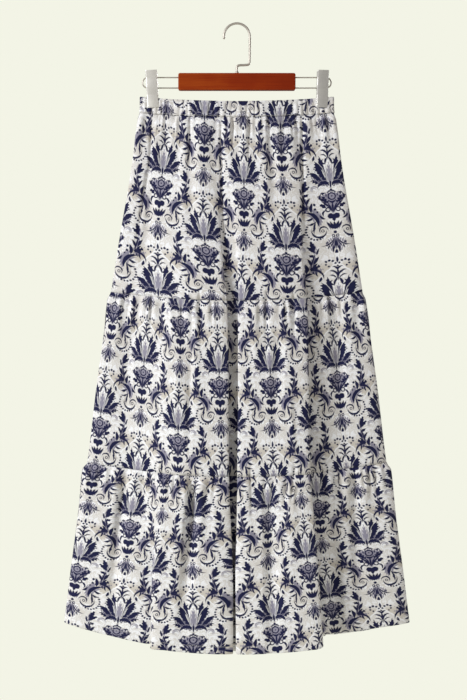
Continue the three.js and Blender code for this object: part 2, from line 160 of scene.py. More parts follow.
# Narrow creases pressed into the cloth: both ends, depth and half width
CREASE_COLUMNS = "start_z start_x end_z end_x depth width"
CREASES = {
    "front": table(
        CREASE_COLUMNS,
        (-146, -27, -520, -17, 3.5, 2.9),
        (-146, 106, -470, 111, 4.1, 2.9),
        (-146, -138, -260, -143, 3.8, 3.1),
        (-230, -143, -400, -170, 2.7, 3.6),
        (-142, -128, -190, -131, 1.9, 2.1),
        (-142, -101, -215, -103, 2.6, 2.6),
        (-142, -76, -240, -77, 2.6, 2.6),
        (-142, -6, -215, -7, 2.4, 2.4),
        (-142, 20, -235, 19, 2.4, 2.4),
        (-142, 52, -200, 52, 2, 2.2),
        (-142, 84, -190, 85, 1.6, 2.2),
        (-142, 134, -210, 138, 1.9, 2.4),
        (-434, -72, -740, -79, 3.2, 3.8),
        (-434, -138, -520, -141, 2.7, 2.8),
        (-434, -60, -540, -58, 3, 2.9),
        (-434, 48, -560, 47, 3, 2.8),
        (-434, 92, -520, 94, 2.7, 2.8),
        (-434, 150, -530, 155, 2.7, 2.9),
        (-600, 84, -712, 92, -2.4, 4.3),
        (-560, -96, -712, -104, -2.4, 5.2),
        (-712, -120, -800, -122, 3, 2.9),
        (-712, 22, -820, 24, 3.2, 3.1),
        (-712, 92, -800, 94, 3, 2.9),
        (-712, 164, -800, 170, 3, 3.1),
        (-712, -36, -790, -37, 2.7, 2.9),
    ),
    "back": table(
        CREASE_COLUMNS,
        (-146, -112, -330, -122, 3.5, 3.1),
        (-146, 62, -400, 66, 3.8, 2.9),
        (-142, -72, -205, -73, 2.4, 2.4),
        (-142, -24, -220, -25, 2.6, 2.4),
        (-142, 8, -190, 8, 1.9, 2.2),
        (-142, 118, -230, 122, 2.6, 2.6),
        (-434, -118, -540, -124, 3, 2.9),
        (-434, -60, -520, -61, 2.7, 2.8),
        (-434, 74, -560, 78, 3, 2.9),
        (-434, 128, -520, 133, 2.7, 2.8),
        (-712, -140, -800, -146, 3, 3.1),
        (-712, -64, -820, -66, 3.2, 3.1),
        (-712, 84, -800, 87, 3, 2.9),
        (-712, 164, -790, 170, 2.7, 2.9),
    ),
}

# Lean of a fold that presses the gathers beside it quite flat
SHARP_LEAN = 0.006

# Points worked out for each line of cloth, and the length of cloth that a turn of one radian stands for
# when columns are spread along it
LINE_SAMPLES = 1600
TURN_WEIGHT = 0.006

# Rows lie closer together towards the seam above, by this power
ROW_CROWDING = 1.25

# How far below a seam the gathers are deepest, the share of their depth that the fine ones have at the
# seam itself, and the share of the wide ones' reach in which the swell of the cloth dies out
GATHER_RISE = 0.012
DEPTH_AT_SEAM = 0.35
SWELL_REACH = 0.6

# Gathers below each seam, as waves of their own length: flat lengths and depths of the fine ones held
# by the stitches and of the wide ones that fall from them, how far each kind reaches down, and how far
# the cloth swells out below the seam
WAVE_COLUMNS = "fine fine_depth fine_reach wide wide_depth wide_reach swell"
GATHER_WAVES = {
    "band": table(WAVE_COLUMNS, (8.5, 0.8, 200, 31, 0.6, 200, 0)),
    "tier1": table(WAVE_COLUMNS, (11, 1.2, 34, 27, 1.7, 110, 1.6)),
    "tier2": table(WAVE_COLUMNS, (13, 1.8, 40, 33, 2.2, 130, 2.6)),
    "tier3": table(WAVE_COLUMNS, (14, 2.1, 46, 36, 2.5, 150, 3.4)),
}


def smooth(t):
    t = np.clip(t, 0, 1)
    return t * t * (3 - 2 * t)


def column_at(rows, key, z):
    """One column of a table at the heights z, eased through the table's rows."""
    heights, values = rows["z"], rows[key]
    last = len(heights) - 1
    i = np.clip(np.searchsorted(-heights, -z, side="right") - 1, 0, last - 1)

    def slope(a, b):
        return (values[b] - values[a]) / (heights[b] - heights[a])

    start = slope(np.maximum(i - 1, 0), i + 1)
    end = slope(i, np.minimum(i + 2, last))
    span = heights[i + 1] - heights[i]
    t = np.clip((z - heights[i]) / span, 0, 1)
    straight = values[i] + (values[i + 1] - values[i]) * smooth(t)
    return straight + t * (1 - t) * span * ((1 - t) * start - t * end)


def row_at(rows, z):
    """All columns of a table at the heights z, each as a column of an array."""
    return {key: column_at(rows, key, z)[:, None] for key in rows if key != "z"}


def edge_at(x, edge, run, lean):
    """A rise from 0 to 1 around an edge, and the sideways shift that makes its lip overhang."""
    q = np.clip((x - edge) / run, -1, 1)
    return (1 + np.sin(q * math.pi / 2)) / 2, -lean * np.sin(q * math.pi)


def calm_at(x, place, reach, sharpness):
    """What is left of the gathers near a fold of the given reach and sharpness."""
    near = 1 - smooth((np.abs(x - place) - reach) / (reach / 2))
    return 1 - near * np.clip(sharpness, 0, 1)


def trough_at(trough, x, z):
    """Depth of one trough at places x and heights z."""
    falling = z > trough["full_z"]
    fall = (trough["start_z"] - z) / (trough["start_z"] - trough["full_z"])
    rise = (trough["full_z"] - z) / (trough["full_z"] - trough["end_z"])
    upper = trough["start_x"] + (trough["full_x"] - trough["start_x"]) * fall
    lower = trough["full_x"] + (trough["end_x"] - trough["full_x"]) * rise
    strength = np.where(falling, smooth(fall), 1 - smooth(rise))
    q = np.clip(np.abs(x - np.where(falling, upper, lower)) / trough["run"], 0, 1)
    return trough["depth"] * strength * (1 + np.cos(q * math.pi)) / 2


def cloth_surface(face, z):
    """Points of a face's middle surface, one row for each height at the side edges, and their calm."""
    section = row_at(SECTIONS, z)
    half, around = section["half"], section["round"]
    x = half * np.sin((np.arange(LINE_SAMPLES + 1) / LINE_SAMPLES - 0.5) * math.pi)
    z = z[:, None]
    from_edge = half - np.abs(x)
    q = np.clip(from_edge / around, 0, 1)
    round_edge = section["edge"] * np.sqrt(1 - (1 - q) ** 2)
    fullness = section[face] * smooth((from_edge - FLAT_EDGE) / (FULLNESS_RUN * half))

    panel = row_at(PANELS[face], z[:, 0])
    left, left_shift = edge_at(x, panel["left"], panel["left_run"], panel["left_lean"])
    right, right_shift = edge_at(x, panel["right"], panel["right_run"], panel["right_lean"])
    pleat = row_at(PLEATS[face], z[:, 0])
    fall, fall_shift = edge_at(x, pleat["x"] - pleat["run"], pleat["run"], pleat["lean"])
    rise, rise_shift = edge_at(x, pleat["x"] + pleat["run"], pleat["run"], pleat["lean"])
    folds = panel["height"] * left * (1 - right) - pleat["depth"] * (fall - rise)
    rows = TROUGHS[face]
    for i in range(len(rows["depth"])):
        folds = folds - trough_at({key: rows[key][i] for key in rows}, x, z)

    inner = smooth((from_edge - around / 2) / around)
    out = SEAM_GAP / 2 + round_edge + fullness + folds * inner
    drop = 1 - (x / half) ** 2
    direction = -1 if face == "front" else 1
    calm = (
        calm_at(x, panel["left"], panel["left_run"], panel["left_lean"] / SHARP_LEAN)
        * calm_at(x, panel["right"], panel["right_run"], panel["right_lean"] / SHARP_LEAN)
        * calm_at(x, pleat["x"], 2 * pleat["run"], pleat["lean"] / SHARP_LEAN)
    )
    points = np.stack(
        (
            x + left_shift + right_shift + fall_shift + rise_shift,
            section["side"] + direction * out,
            z - (section["sag"] - panel["lift"] * right) * drop,
        ),
        axis=-1,
    )
    return points, calm


def spread(points, calm, columns):
    """Points of each row at equal steps of cloth and turns, with their calm and place along the cloth."""
    step = np.diff(points[..., :2], axis=1)
    length = np.hypot(step[..., 0], step[..., 1])
    heading = np.unwrap(np.arctan2(step[..., 1], step[..., 0]), axis=1)
    turn = np.abs(np.diff(heading, axis=1, prepend=heading[:, :1]))
    start = np.zeros((len(points), 1))
    travel = np.hstack((start, np.cumsum(length + TURN_WEIGHT * turn, axis=1)))
    along = np.hstack((start, np.cumsum(length, axis=1)))
    stations = np.linspace(0, 1, columns + 1)
    spaced = np.empty((len(points), columns + 1, 5))
    for r, row in enumerate(points):
        targets = stations * travel[r, -1]
        for k, values in enumerate((row[:, 0], row[:, 1], row[:, 2], calm[r], along[r])):
            spaced[r, :, k] = np.interp(targets, travel[r], values)
    return spaced[..., :3], spaced[..., 3], spaced[..., 4]


def outward(points, face):
    """Outward direction in plan at each point of each row."""
    turn = 1 if face == "front" else -1
    step = np.diff(points[..., :2], axis=1)
    normal = np.stack((turn * step[..., 1], -turn * step[..., 0]), axis=-1)
    normal /= np.maximum(np.linalg.norm(normal, axis=-1, keepdims=True), 1e-9)
    both = np.concatenate((normal[:, :1], normal[:, :-1] + normal[:, 1:], normal[:, -1:]), axis=1)
    both[:, 0] = (-1, 0)
    both[:, -1] = (1, 0)
    return both / np.linalg.norm(both, axis=-1, keepdims=True)


def wander(x, seed, length):
    """Smooth unevenness between -1 and 1 along x, without a visible repeat."""
    phases = np.random.default_rng(seed).uniform(0, 2 * math.pi, 4)
    lengths = length * np.array((1, 1.618, 2.72, 0.73))
    waves = [np.sin(x * 2 * math.pi / wave + phase) for wave, phase in zip(lengths, phases)]
    return np.mean(waves, axis=0) * 1.6


def gathered(points, calm, along, distance, face, waves, seed):
    """The rows with fine gathers at the seam that merge into wider ones below it."""
    wave = {key: values[0] for key, values in waves.items()}
    d = distance[:, None]
    rise, below = smooth(d / GATHER_RISE), d - GATHER_RISE
    risen_fine = DEPTH_AT_SEAM + (1 - DEPTH_AT_SEAM) * rise
    fine = wave["fine_depth"] * risen_fine * (1 - smooth(below / wave["fine_reach"]))
    wide = wave["wide_depth"] * rise * (1 - smooth(below / wave["wide_reach"]))
    swell = wave["swell"] * rise * (1 - smooth(below / (SWELL_REACH * wave["wide_reach"])))
    u = (along / along[:, -1:] - 0.5) * along[0, -1]
    fine_phase = u / wave["fine"] * 2 * math.pi + 2.2 * wander(u, seed, 0.05)
    wide_phase = u / wave["wide"] * 2 * math.pi + 1.9 * wander(u, seed + 1, 0.11)
    uneven = 0.75 + 0.45 * wander(u, seed + 2, 0.08)
    fine_wave = fine * uneven * np.sin(fine_phase)
    wide_wave = wide * (1.2 - 0.4 * uneven) * np.sin(wide_phase)
    offset = calm * (swell + fine_wave + wide_wave)
    moved = points.copy()
    moved[..., :2] += outward(points, face) * offset[..., None]
    moved[..., 1] += (-1 if face == "front" else 1) * swell * (1 - calm)
    return moved


def creased(points, along, distance, face, seed, count):
    """The rows with a few long soft creases of uneven depth and direction."""
    rng = np.random.default_rng(seed)
    height = distance[-1]
    u = (along / along[:, -1:] - 0.5) * along[0, -1]
    d = distance[:, None]
    offset = np.zeros_like(u)
    for _ in range(count):
        place = rng.uniform(-0.45, 0.45) * along[0, -1]
        start = rng.uniform(-0.1, 0.45) * height
        length = rng.uniform(0.3, 0.75) * height
        width = rng.uniform(0.006, 0.014)
        lean = rng.uniform(-0.09, 0.09)
        depth = rng.uniform(0.0005, 0.0016) * rng.choice((-1, 1))
        t = (d - start) / length
        window = np.where((t > 0) & (t < 1), np.sin(np.clip(t, 0, 1) * math.pi) ** 2, 0)
        across = (u - place - lean * (d - start)) / width
        offset += depth * window * np.exp(-(across**2))
    moved = points.copy()
    moved[..., :2] += outward(points, face) * offset[..., None]
    return moved


def pressed(points, face):
    """The rows with the narrow creases of their face, which die out over their lower half."""
    creases = CREASES[face]
    x, z = points[..., 0], points[..., 2]
    offset = np.zeros_like(x)
    for start_z, start_x, end_z, end_x, depth, width in zip(*creases.values()):
        t = np.clip((start_z - z) / (start_z - end_z), 0, 1)
        strength = smooth(t * 12) * (1 - smooth(t * 2 - 1))
        across = (x - start_x - (end_x - start_x) * t) / width
        offset -= depth * strength * np.exp(-(across**2))
    moved = points.copy()
    moved[..., :2] += outward(points, face) * offset[..., None]
    return moved


def moved_out(points, face, out, up=0.0):
    """Rows moved outward in plan and up."""
    moved = points.copy()
    moved[..., :2] += outward(points, face) * out
    moved[..., 2] += up
    return moved


def wall_rows(face, top, bottom, columns, rows, waves, seed, creases):
    """Rows of points of one panel of cloth from seam to seam, their flat places across and down."""
    height = top - bottom
    distance = height * np.linspace(0, 1, rows) ** ROW_CROWDING
    points, calm = cloth_surface(face, top - distance)
    points, calm, along = spread(points, calm, columns)
    points = gathered(points, calm, along, distance, face, waves, seed)
    points = creased(points, along, distance, face, seed + 5, creases)
    if creases:
        points = pressed(points, face)
    across = along / along[:, -1:] - 0.5
    down = np.repeat(distance[:, None] / height, columns + 1, axis=1)
    return points, across, down


def linked(name, data):
    """A new object of the scene with the given data."""
    piece = bpy.data.objects.new(name, data)
    bpy.context.collection.objects.link(piece)
    return piece


def cloth_object(name, rows, across, down, face, materials, thickness):
    """A panel of cloth from rows of points, with its flat place as UV map and its thickness as Solidify."""
    count, width = rows.shape[:2]
    index = np.arange(count * width).reshape(count, width)
    a, b, c, d = index[:-1, :-1], index[1:, :-1], index[1:, 1:], index[:-1, 1:]
    quads = np.stack((a, b, c, d) if face == "front" else (d, c, b, a), axis=-1).reshape(-1, 4)
    mesh = bpy.data.meshes.new(name)
    mesh.from_pydata(rows.reshape(-1, 3).tolist(), [], quads.tolist())
    flat = np.stack((across, down), axis=-1).reshape(-1, 2)
    uv = mesh.uv_layers.new(name="flat_cloth")
    uv.data.foreach_set("uv", flat[quads.reshape(-1)].astype(np.float32).ravel())
    mesh.shade_smooth()
    for material in materials:
        mesh.materials.append(material)
    piece = linked(name, mesh)
    shell = piece.modifiers.new("thickness", "SOLIDIFY")
    shell.thickness = thickness
    shell.offset = 0
    shell.material_offset = 1
    shell.material_offset_rim = 0
    return piece


def built_object(name, built):
    """An object of the scene from a bmesh, which is freed."""
    mesh = bpy.data.meshes.new(name)
    built.to_mesh(mesh)
    built.free()
    return linked(name, mesh)


def finished(piece, material_slot, *nodes):
    """The piece rides on the part's one body and stands for its CAD nodes, which are hidden. Its material slot
    is not used.
    """
    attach(piece, "root")
    if nodes:
        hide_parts(*nodes)
    return piece


def rounded_path(points, steps):
    """A smooth line through points in the XZ plane, centripetal so that it doesn't overshoot."""
    p = np.array(points, float)
    p = np.vstack((2 * p[0] - p[1], p, 2 * p[-1] - p[-2]))
    knots = np.concatenate(([0], np.cumsum(np.linalg.norm(np.diff(p, axis=0), axis=1) ** 0.5)))
    line = []
    for i in range(1, len(p) - 2):
        t0, t1, t2, t3 = knots[i - 1 : i + 3]
        for t in np.linspace(t1, t2, steps, endpoint=i == len(p) - 3):
            a1 = (t1 - t) / (t1 - t0) * p[i - 1] + (t - t0) / (t1 - t0) * p[i]
            a2 = (t2 - t) / (t2 - t1) * p[i] + (t - t1) / (t2 - t1) * p[i + 1]
            a3 = (t3 - t) / (t3 - t2) * p[i + 1] + (t - t2) / (t3 - t2) * p[i + 2]
            b1 = (t2 - t) / (t2 - t0) * a1 + (t - t0) / (t2 - t0) * a2
            b2 = (t3 - t) / (t3 - t1) * a2 + (t - t1) / (t3 - t1) * a3
            line.append((t2 - t) / (t2 - t1) * b1 + (t - t1) / (t2 - t1) * b2)
    return np.array(line)


def wire_object(name, line, diameter, sides, material):
    """A round wire with rounded ends along a line of points."""
    line = np.asarray(line, float)
    tangent = np.gradient(line, axis=0)
    tangent /= np.linalg.norm(tangent, axis=1, keepdims=True)
    side = np.cross(tangent, (0, 1, 0) if np.ptp(line[:, 1]) < 1e-6 else (1, 0, 0))
    side /= np.linalg.norm(side, axis=1, keepdims=True)
    other = np.cross(tangent, side)
    turn = np.linspace(0, 2 * math.pi, sides, endpoint=False)
    radius = diameter / 2
    rings = []
    cap = np.linspace(0, math.pi / 2, 5)[1:-1]
    for angle in cap[::-1]:
        rings.append((0, math.cos(angle) * radius, -math.sin(angle) * radius))
    rings += [(i, radius, 0.0) for i in range(len(line))]
    for angle in cap:
        rings.append((len(line) - 1, math.cos(angle) * radius, math.sin(angle) * radius))
    mesh = bmesh.new()
    loops = []
    for i, r, push in rings:
        centre = line[i] + tangent[i] * push
        around = centre + r * (np.cos(turn)[:, None] * side[i] + np.sin(turn)[:, None] * other[i])
        loops.append([mesh.verts.new(p) for p in around])
    for lower, upper in zip(loops, loops[1:]):
        for k in range(sides):
            mesh.faces.new((lower[k - 1], lower[k], upper[k], upper[k - 1]))
    mesh.faces.new(loops[0][::-1])
    mesh.faces.new(loops[-1])
    bmesh.ops.recalc_face_normals(mesh, faces=mesh.faces)
    piece = built_object(name, mesh)
    piece.data.shade_smooth()
    piece.data.materials.append(material)
    return piece


class Number:
    """A number socket of a node tree that Python's operators work on."""

    def __init__(self, paint, socket):
        self.paint = paint
        self.socket = socket

    def math(self, operation, *values, clamp=False):
        settings = {"operation": operation, "use_clamp": clamp}
        return self.paint.number("ShaderNodeMath", 0, settings, dict(enumerate(values)))

    def __add__(self, other):
        return self.math("ADD", self, other)

    __radd__ = __add__

    def __sub__(self, other):
        return self.math("SUBTRACT", self, other)

    def __rsub__(self, other):
        return self.math("SUBTRACT", other, self)

    def __mul__(self, other):
        return self.math("MULTIPLY", self, other)

    __rmul__ = __mul__

    def __truediv__(self, other):
        return self.math("DIVIDE", self, other)

    def __mod__(self, other):
        return self.math("FLOORED_MODULO", self, other)

    def __abs__(self):
        return self.math("ABSOLUTE", self)

    def __gt__(self, other):
        return self.math("GREATER_THAN", self, other)

    def scaled(self, factor, offset):
        return self.math("MULTIPLY_ADD", self, factor, offset)

    def sin(self):
        return self.math("SINE", self)

    def over(self, other):
        """Larger of two numbers, which joins two shapes."""
        return self.math("MAXIMUM", self, other)

    def within(self, other):
        """Smaller of two numbers, which keeps what two shapes share."""
        return self.math("MINIMUM", self, other)

    def ink(self, edge):
        """Cover from 0 to 1 of a shape whose depth inside its edge this is, with a soft edge."""
        return self.math("MULTIPLY_ADD", self, 0.5 / edge, 0.5, clamp=True)


def rgba(colour, share=1.0):
    """A colour, darkened to a share of itself, with full alpha."""
    return (*(share * c for c in colour), 1)


class Paint:
    """The node tree of a material or group, and the ways its sockets are worked on."""

    def __init__(self, tree):
        self.tree = tree

    def node(self, kind, settings=None, inputs=None):
        node = self.tree.nodes.new(kind)
        for key, value in (settings or {}).items():
            setattr(node, key, value)
        self.feed(node, inputs or {})
        return node

    def feed(self, node, inputs):
        """Link sockets to inputs of a node, or set the inputs to values."""
        for key, value in inputs.items():
            if isinstance(value, Number):
                value = value.socket
            if isinstance(value, bpy.types.NodeSocket):
                self.tree.links.new(value, node.inputs[key])
            else:
                node.inputs[key].default_value = value

    def number(self, kind, output, settings=None, inputs=None):
        return Number(self, self.node(kind, settings, inputs).outputs[output])

    def vector(self, operation, a, b):
        return self.node("ShaderNodeVectorMath", {"operation": operation}, {0: a, 1: b}).outputs[0]

    def dot(self, a, direction):
        inputs = {0: a, 1: (*direction, 0.0)}
        return self.number("ShaderNodeVectorMath", 1, {"operation": "DOT_PRODUCT"}, inputs)

    def distance(self, a, place):
        return self.number("ShaderNodeVectorMath", 1, {"operation": "DISTANCE"}, {0: a, 1: (*place, 0.0)})

    def point(self, x, y):
        return self.node("ShaderNodeCombineXYZ", None, {0: x, 1: y}).outputs[0]

    def blend(self, factor, a, b):
        node = self.node("ShaderNodeMix", {"data_type": "RGBA"}, {0: factor, 6: a, 7: b})
        return node.outputs[2]

    def ramp(self, factor, stops):
        node = self.node("ShaderNodeValToRGB", None, {"Fac": factor})
        elements = node.color_ramp.elements
        while len(elements) < len(stops):
            elements.new(1.0)
        for element, (place, colour) in zip(elements, stops):
            element.position = place
            element.color = rgba(colour)
        return node.outputs["Color"]

    def noise(self, place, scale, detail, distortion=0.0, flat=False):
        """Smooth noise from 0 to 1 at a place, or at a place on flat cloth."""
        settings = {"noise_dimensions": "2D" if flat else "3D"}
        inputs = {"Vector": place, "Scale": scale, "Detail": detail, "Distortion": distortion}
        return self.number("ShaderNodeTexNoise", "Fac", settings, inputs)

    def bump(self, strength, distance, height):
        """Normal of a surface that stands out by its height, from 0 to 1, times a distance."""
        inputs = {"Strength": strength, "Distance": distance, "Height": height}
        return self.node("ShaderNodeBump", None, inputs).outputs[0]


class Motif(Paint):
    """Shapes of a printed motif. Each gives the depth in millimetres inside its edge at a point."""

    def polar(self, p, centre, middle):
        """How far a point is from a centre, and its angle from a middle direction given in degrees."""
        along, up = math.cos(math.radians(middle)), math.sin(math.radians(middle))
        arm = self.vector("SUBTRACT", p, (*centre, 0.0))
        beside = self.dot(arm, (-up, along))
        return self.distance(arm, (0.0, 0.0)), beside.math("ARCTAN2", beside, self.dot(arm, (along, up)))

    def disc(self, p, centre, radius):
        return radius - self.distance(p, centre)

    def ring(self, p, centre, radius, half_width):
        return half_width - abs(self.distance(p, centre) - radius)

    def leaf(self, p, base, tip, half_width, bend=0.0, teeth=0.0, late=False):
        """A leaf from base to tip. Bend moves its middle aside, and teeth notch its edge.

        A late leaf is widest near its tip and has its teeth on one side only.
        """
        run = (tip[0] - base[0], tip[1] - base[1])
        length = math.hypot(*run)
        along = (run[0] / length**2, run[1] / length**2)
        aside = (-run[1] / length, run[0] / length)
        s = self.dot(p, along) - (base[0] * along[0] + base[1] * along[1])
        t = self.dot(p, aside) - (base[0] * aside[0] + base[1] * aside[1])
        profile = s * (1 - s)
        if bend:
            t = profile.scaled(4 * bend, t)
        outer = t > 0
        t = abs(t)
        width = profile * s * (6.75 * half_width) if late else profile * (4 * half_width)
        if teeth:
            notches = (t * 0.8 - s * (length * 1.15)).sin() * teeth
            width = width + (notches * outer if late else notches)
        return width - t

    def sweep(self, p, centre, radii, angles, half_width):
        """A leaf bent round a centre, from the first of the radii and angles to the second, in degrees."""
        reach, angle = self.polar(p, centre, sum(angles) / 2)
        opening = math.radians(angles[1] - angles[0])
        q = angle.scaled(1 / opening, 0.5)
        off = abs(reach - q.scaled(radii[1] - radii[0], radii[0]))
        return q * (1 - q) * (4 * half_width) - off

    def dots(self, p, centre, radius, count, angles, half_width):
        """Round dots evenly spaced on an arc, where a whole circle would have the given count."""
        reach, angle = self.polar(p, centre, sum(angles) / 2)
        half = math.radians(angles[1] - angles[0]) / 2
        step = 2 * math.pi / count
        beside = (angle.scaled(1 / step, 0.5) % 1.0).scaled(step * radius, -step * radius / 2)
        from_dot = self.distance(self.point(beside, reach - radius), (0.0, 0.0))
        return (half_width - from_dot).within((half - abs(angle)) * radius)

    def laid(self, gap, shapes):
        """Shapes laid on each other, each with a white gap round it."""
        whole = shapes[0]
        for shape in shapes[1:]:
            whole = whole.within(-gap - shape).over(shape)
        return whole

    def joined(self, shapes):
        """Shapes run together into one."""
        whole = shapes[0]
        for shape in shapes[1:]:
            whole = whole.over(shape)
        return whole


# Repeat of the damask print in millimetres: whole width, height, and where its motif is cut for folding
PRINT_WIDTH = 150.0
PRINT_HEIGHT = 198.0
PRINT_CUT = 12.0

# How far the navy ink draws back from its outlines, and how soft the edges of navy and grey are
INK_INSET = 0.22
NAVY_EDGE = 0.45
GREY_EDGE = 0.7


def damask_group(colours):
    """The half-drop damask as a node group: flat cloth coordinates in, colour and ink cover out."""
    tree = bpy.data.node_groups.new("damask_print", "ShaderNodeTree")
    tree.interface.new_socket("Flat cloth", in_out="INPUT", socket_type="NodeSocketVector")
    tree.interface.new_socket("Color", in_out="OUTPUT", socket_type="NodeSocketColor")
    tree.interface.new_socket("Cover", in_out="OUTPUT", socket_type="NodeSocketFloat")
    paint = Motif(tree)
    flat = paint.node("NodeGroupInput").outputs["Flat cloth"]
    flat = paint.node("ShaderNodeVectorMath", {"operation": "SCALE"}, {0: flat, "Scale": 1000.0}).outputs[0]
    shake = paint.noise(flat, 0.22, 1.0, flat=True).socket.node.outputs["Color"]
    shake = paint.vector("SUBTRACT", shake, (0.5, 0.5, 0.5))
    shaken = paint.vector("MULTIPLY_ADD", shake, (1.4, 1.4, 0.0))
    tree.links.new(flat, shaken.node.inputs[2])
    split = paint.node("ShaderNodeSeparateXYZ", None, {0: shaken})
    u, v = Number(paint, split.outputs[0]), Number(paint, split.outputs[1])

    # Fold the plane onto one quarter of the repeat. Upper is its frame on the motif whose axis is at its
    # left, lower the frame on the half-drop motif at its right, and near the one whose axis is nearer.
    x = abs((u + PRINT_WIDTH / 2) % PRINT_WIDTH - PRINT_WIDTH / 2)
    y = (v + PRINT_CUT) % PRINT_HEIGHT
    dropped = y > PRINT_HEIGHT / 2
    x = abs(x - dropped * (PRINT_WIDTH / 2))
    y = y - dropped * (PRINT_HEIGHT / 2) - PRINT_CUT
    across = PRINT_WIDTH / 2 - x
    down = y + PRINT_HEIGHT / 2
    upper, lower = paint.point(x, y), paint.point(across, down)
    side = x > PRINT_WIDTH / 4
    near = paint.node("ShaderNodeMix", {"data_type": "VECTOR"}, {0: side, 4: upper, 5: lower}).outputs[1]

    leaf, sweep, disc, ring = paint.leaf, paint.sweep, paint.disc, paint.ring
    palmette = paint.laid(0.25, [
        leaf(upper, (0.5, 76), (25, 44), 3.2, late=True, teeth=0.9),
        leaf(upper, (1, 78), (30.5, 65), 3.8, late=True, bend=1.8, teeth=1.2),
        leaf(upper, (1, 77), (32, 52), 5.0, late=True, bend=1.2, teeth=1.7),
        leaf(upper, (0, 77), (14.2, 25), 3.7, late=True, bend=-2.2, teeth=0.5),
        leaf(upper, (0.5, 77), (21.5, 34), 5.8, late=True, bend=-1.2, teeth=1.3),
        sweep(upper, (10.5, 79.5), (10.8, 9.4), (192, 352), 3.4),
        leaf(upper, (0, 80), (0, 64), 1.9),
    ])
    fan_angle = paint.polar(upper, (0.0, 84.0), -90)[1]
    veins = (0.95 - (fan_angle * 23.0 + 0.9).sin()) * 4.0
    palmette = palmette.within(veins.over(paint.distance(upper, (19.0, 58.0)) - 12.0))
    crown = paint.joined([
        leaf(upper, (0, 4), (0, -7), 2.0),
        disc(upper, (0, 8.6), 1.7),
        disc(upper, (2.6, 4.2), 1.9),
        disc(upper, (6.2, 0.4), 2.0),
        disc(upper, (10.9, -0.9), 2.2),
        disc(upper, (15.4, 0.8), 2.1),
        disc(upper, (15.6, 5.6), 1.8),
        disc(upper, (11.8, 8.8), 1.7),
    ])
    stem = paint.joined([
        leaf(upper, (0, 33), (0, 10), 1.7),
        sweep(upper, (6.5, 18), (7.6, 8.6), (178, 276), 1.8),
        sweep(upper, (10, 24), (9, 8), (160, 285), 1.8),
        sweep(upper, (10, 29.5), (8, 6), (170, 290), 1.3),
        leaf(upper, (0, 27), (5.5, 41), 2.0, bend=1.6),
        sweep(upper, (7.2, 35), (3.2, 3.4), (-100, 150), 2.0),
    ])
    spray = paint.joined([
        leaf(upper, (45.5, 81), (38, 64.5), 3.5, bend=0.8, teeth=0.5),
        leaf(upper, (46, 85), (32, 74), 3.2, bend=-1.0, teeth=0.5),
        leaf(lower, (43.5, 93), (33, 82.5), 3.3, bend=-0.8, teeth=0.5),
        leaf(upper, (47, 91), (50.5, 76), 1.7, bend=0.8),
        leaf(lower, (42.5, 104), (50.5, 90), 2.6, bend=0.9),
        leaf(lower, (39.5, 106), (33.5, 93), 2.2, bend=-1.4),
        leaf(lower, (40.5, 110), (48.5, 101), 2.0, bend=0.7),
        leaf(lower, (47.5, 80), (38.5, 113), 1.5, bend=-1.4),
    ])
    claw = paint.joined([
        leaf(lower, (35, 111.5), (53, 103), 3.0, bend=-1.8, teeth=0.9),
        sweep(lower, (42, 125), (12.4, 14.4), (-120, 12), 2.0),
        leaf(lower, (53, 123), (50, 132.5), 2.2, bend=0.7),
        leaf(lower, (46, 112.5), (48.5, 123), 1.6, bend=-1.0),
        leaf(lower, (42, 112.5), (44.5, 119.5), 1.3, bend=-0.8),
    ])
    scroll = paint.joined([
        sweep(lower, (41, 135.5), (17.2, 17.6), (160, 278), 3.4),
        sweep(lower, (22, 147.5), (12.6, 9.4), (-24, 188), 1.9),
        sweep(lower, (17.0, 148.0), (7.4, 5.0), (168, 410), 1.5),
        ring(lower, (17.8, 148.4), 1.9, 0.8),
        leaf(lower, (26.5, 130), (30.5, 153), 1.8, bend=1.6),
        leaf(lower, (33, 118), (30.5, 101.5), 3.1, bend=-1.8),
        disc(lower, (27.6, 104.6), 2.3),
        disc(lower, (27.2, 112), 2.1),
        disc(lower, (23.6, 117), 1.6),
        leaf(lower, (21, 121.5), (12.5, 129.5), 2.0, bend=1.4),
        leaf(lower, (30.5, 125), (42.5, 129.5), 2.1, bend=-1.8),
        leaf(lower, (28.5, 133), (40, 137), 1.9, bend=-1.8),
        leaf(lower, (28, 141), (34.5, 148), 1.3, bend=-1.2),
        paint.dots(lower, (27.5, 147), 15.0, 21, (-44, 128), 1.8),
    ])
    heart = paint.joined([
        disc(lower, (4.4, 124.8), 4.9),
        leaf(lower, (0, 134.5), (0, 121), 3.4),
        ring(lower, (7.4, 114), 3.2, 1.2),
        sweep(lower, (10.5, 121.5), (6.0, 5.2), (-115, 50), 1.8),
        leaf(lower, (-1, 147), (11.6, 133), 2.3, bend=-1.6),
        leaf(lower, (-1, 147.5), (6.6, 133), 2.3, bend=-0.6),
        leaf(lower, (0, 147.5), (0, 133.5), 2.6),
        disc(lower, (0, 151.4), 2.6),
        ring(lower, (2.9, 157), 1.8, 0.9),
    ])
    tassel = paint.joined([
        leaf(lower, (0, 162), (0, 181), 1.1),
        leaf(lower, (0, 179), (0, 189), 2.4),
        leaf(lower, (2.5, 158), (5.5, 184), 1.3, bend=-2.6),
        leaf(lower, (4, 172), (4.6, 185.5), 1.7),
        leaf(lower, (3, 160), (11, 177), 1.0, bend=-2.6),
        leaf(lower, (9, 171), (12, 179), 1.3),
        sweep(lower, (20, 157), (18, 16), (172, 84), 1.3),
        disc(lower, (13, 168.5), 1.9),
    ])

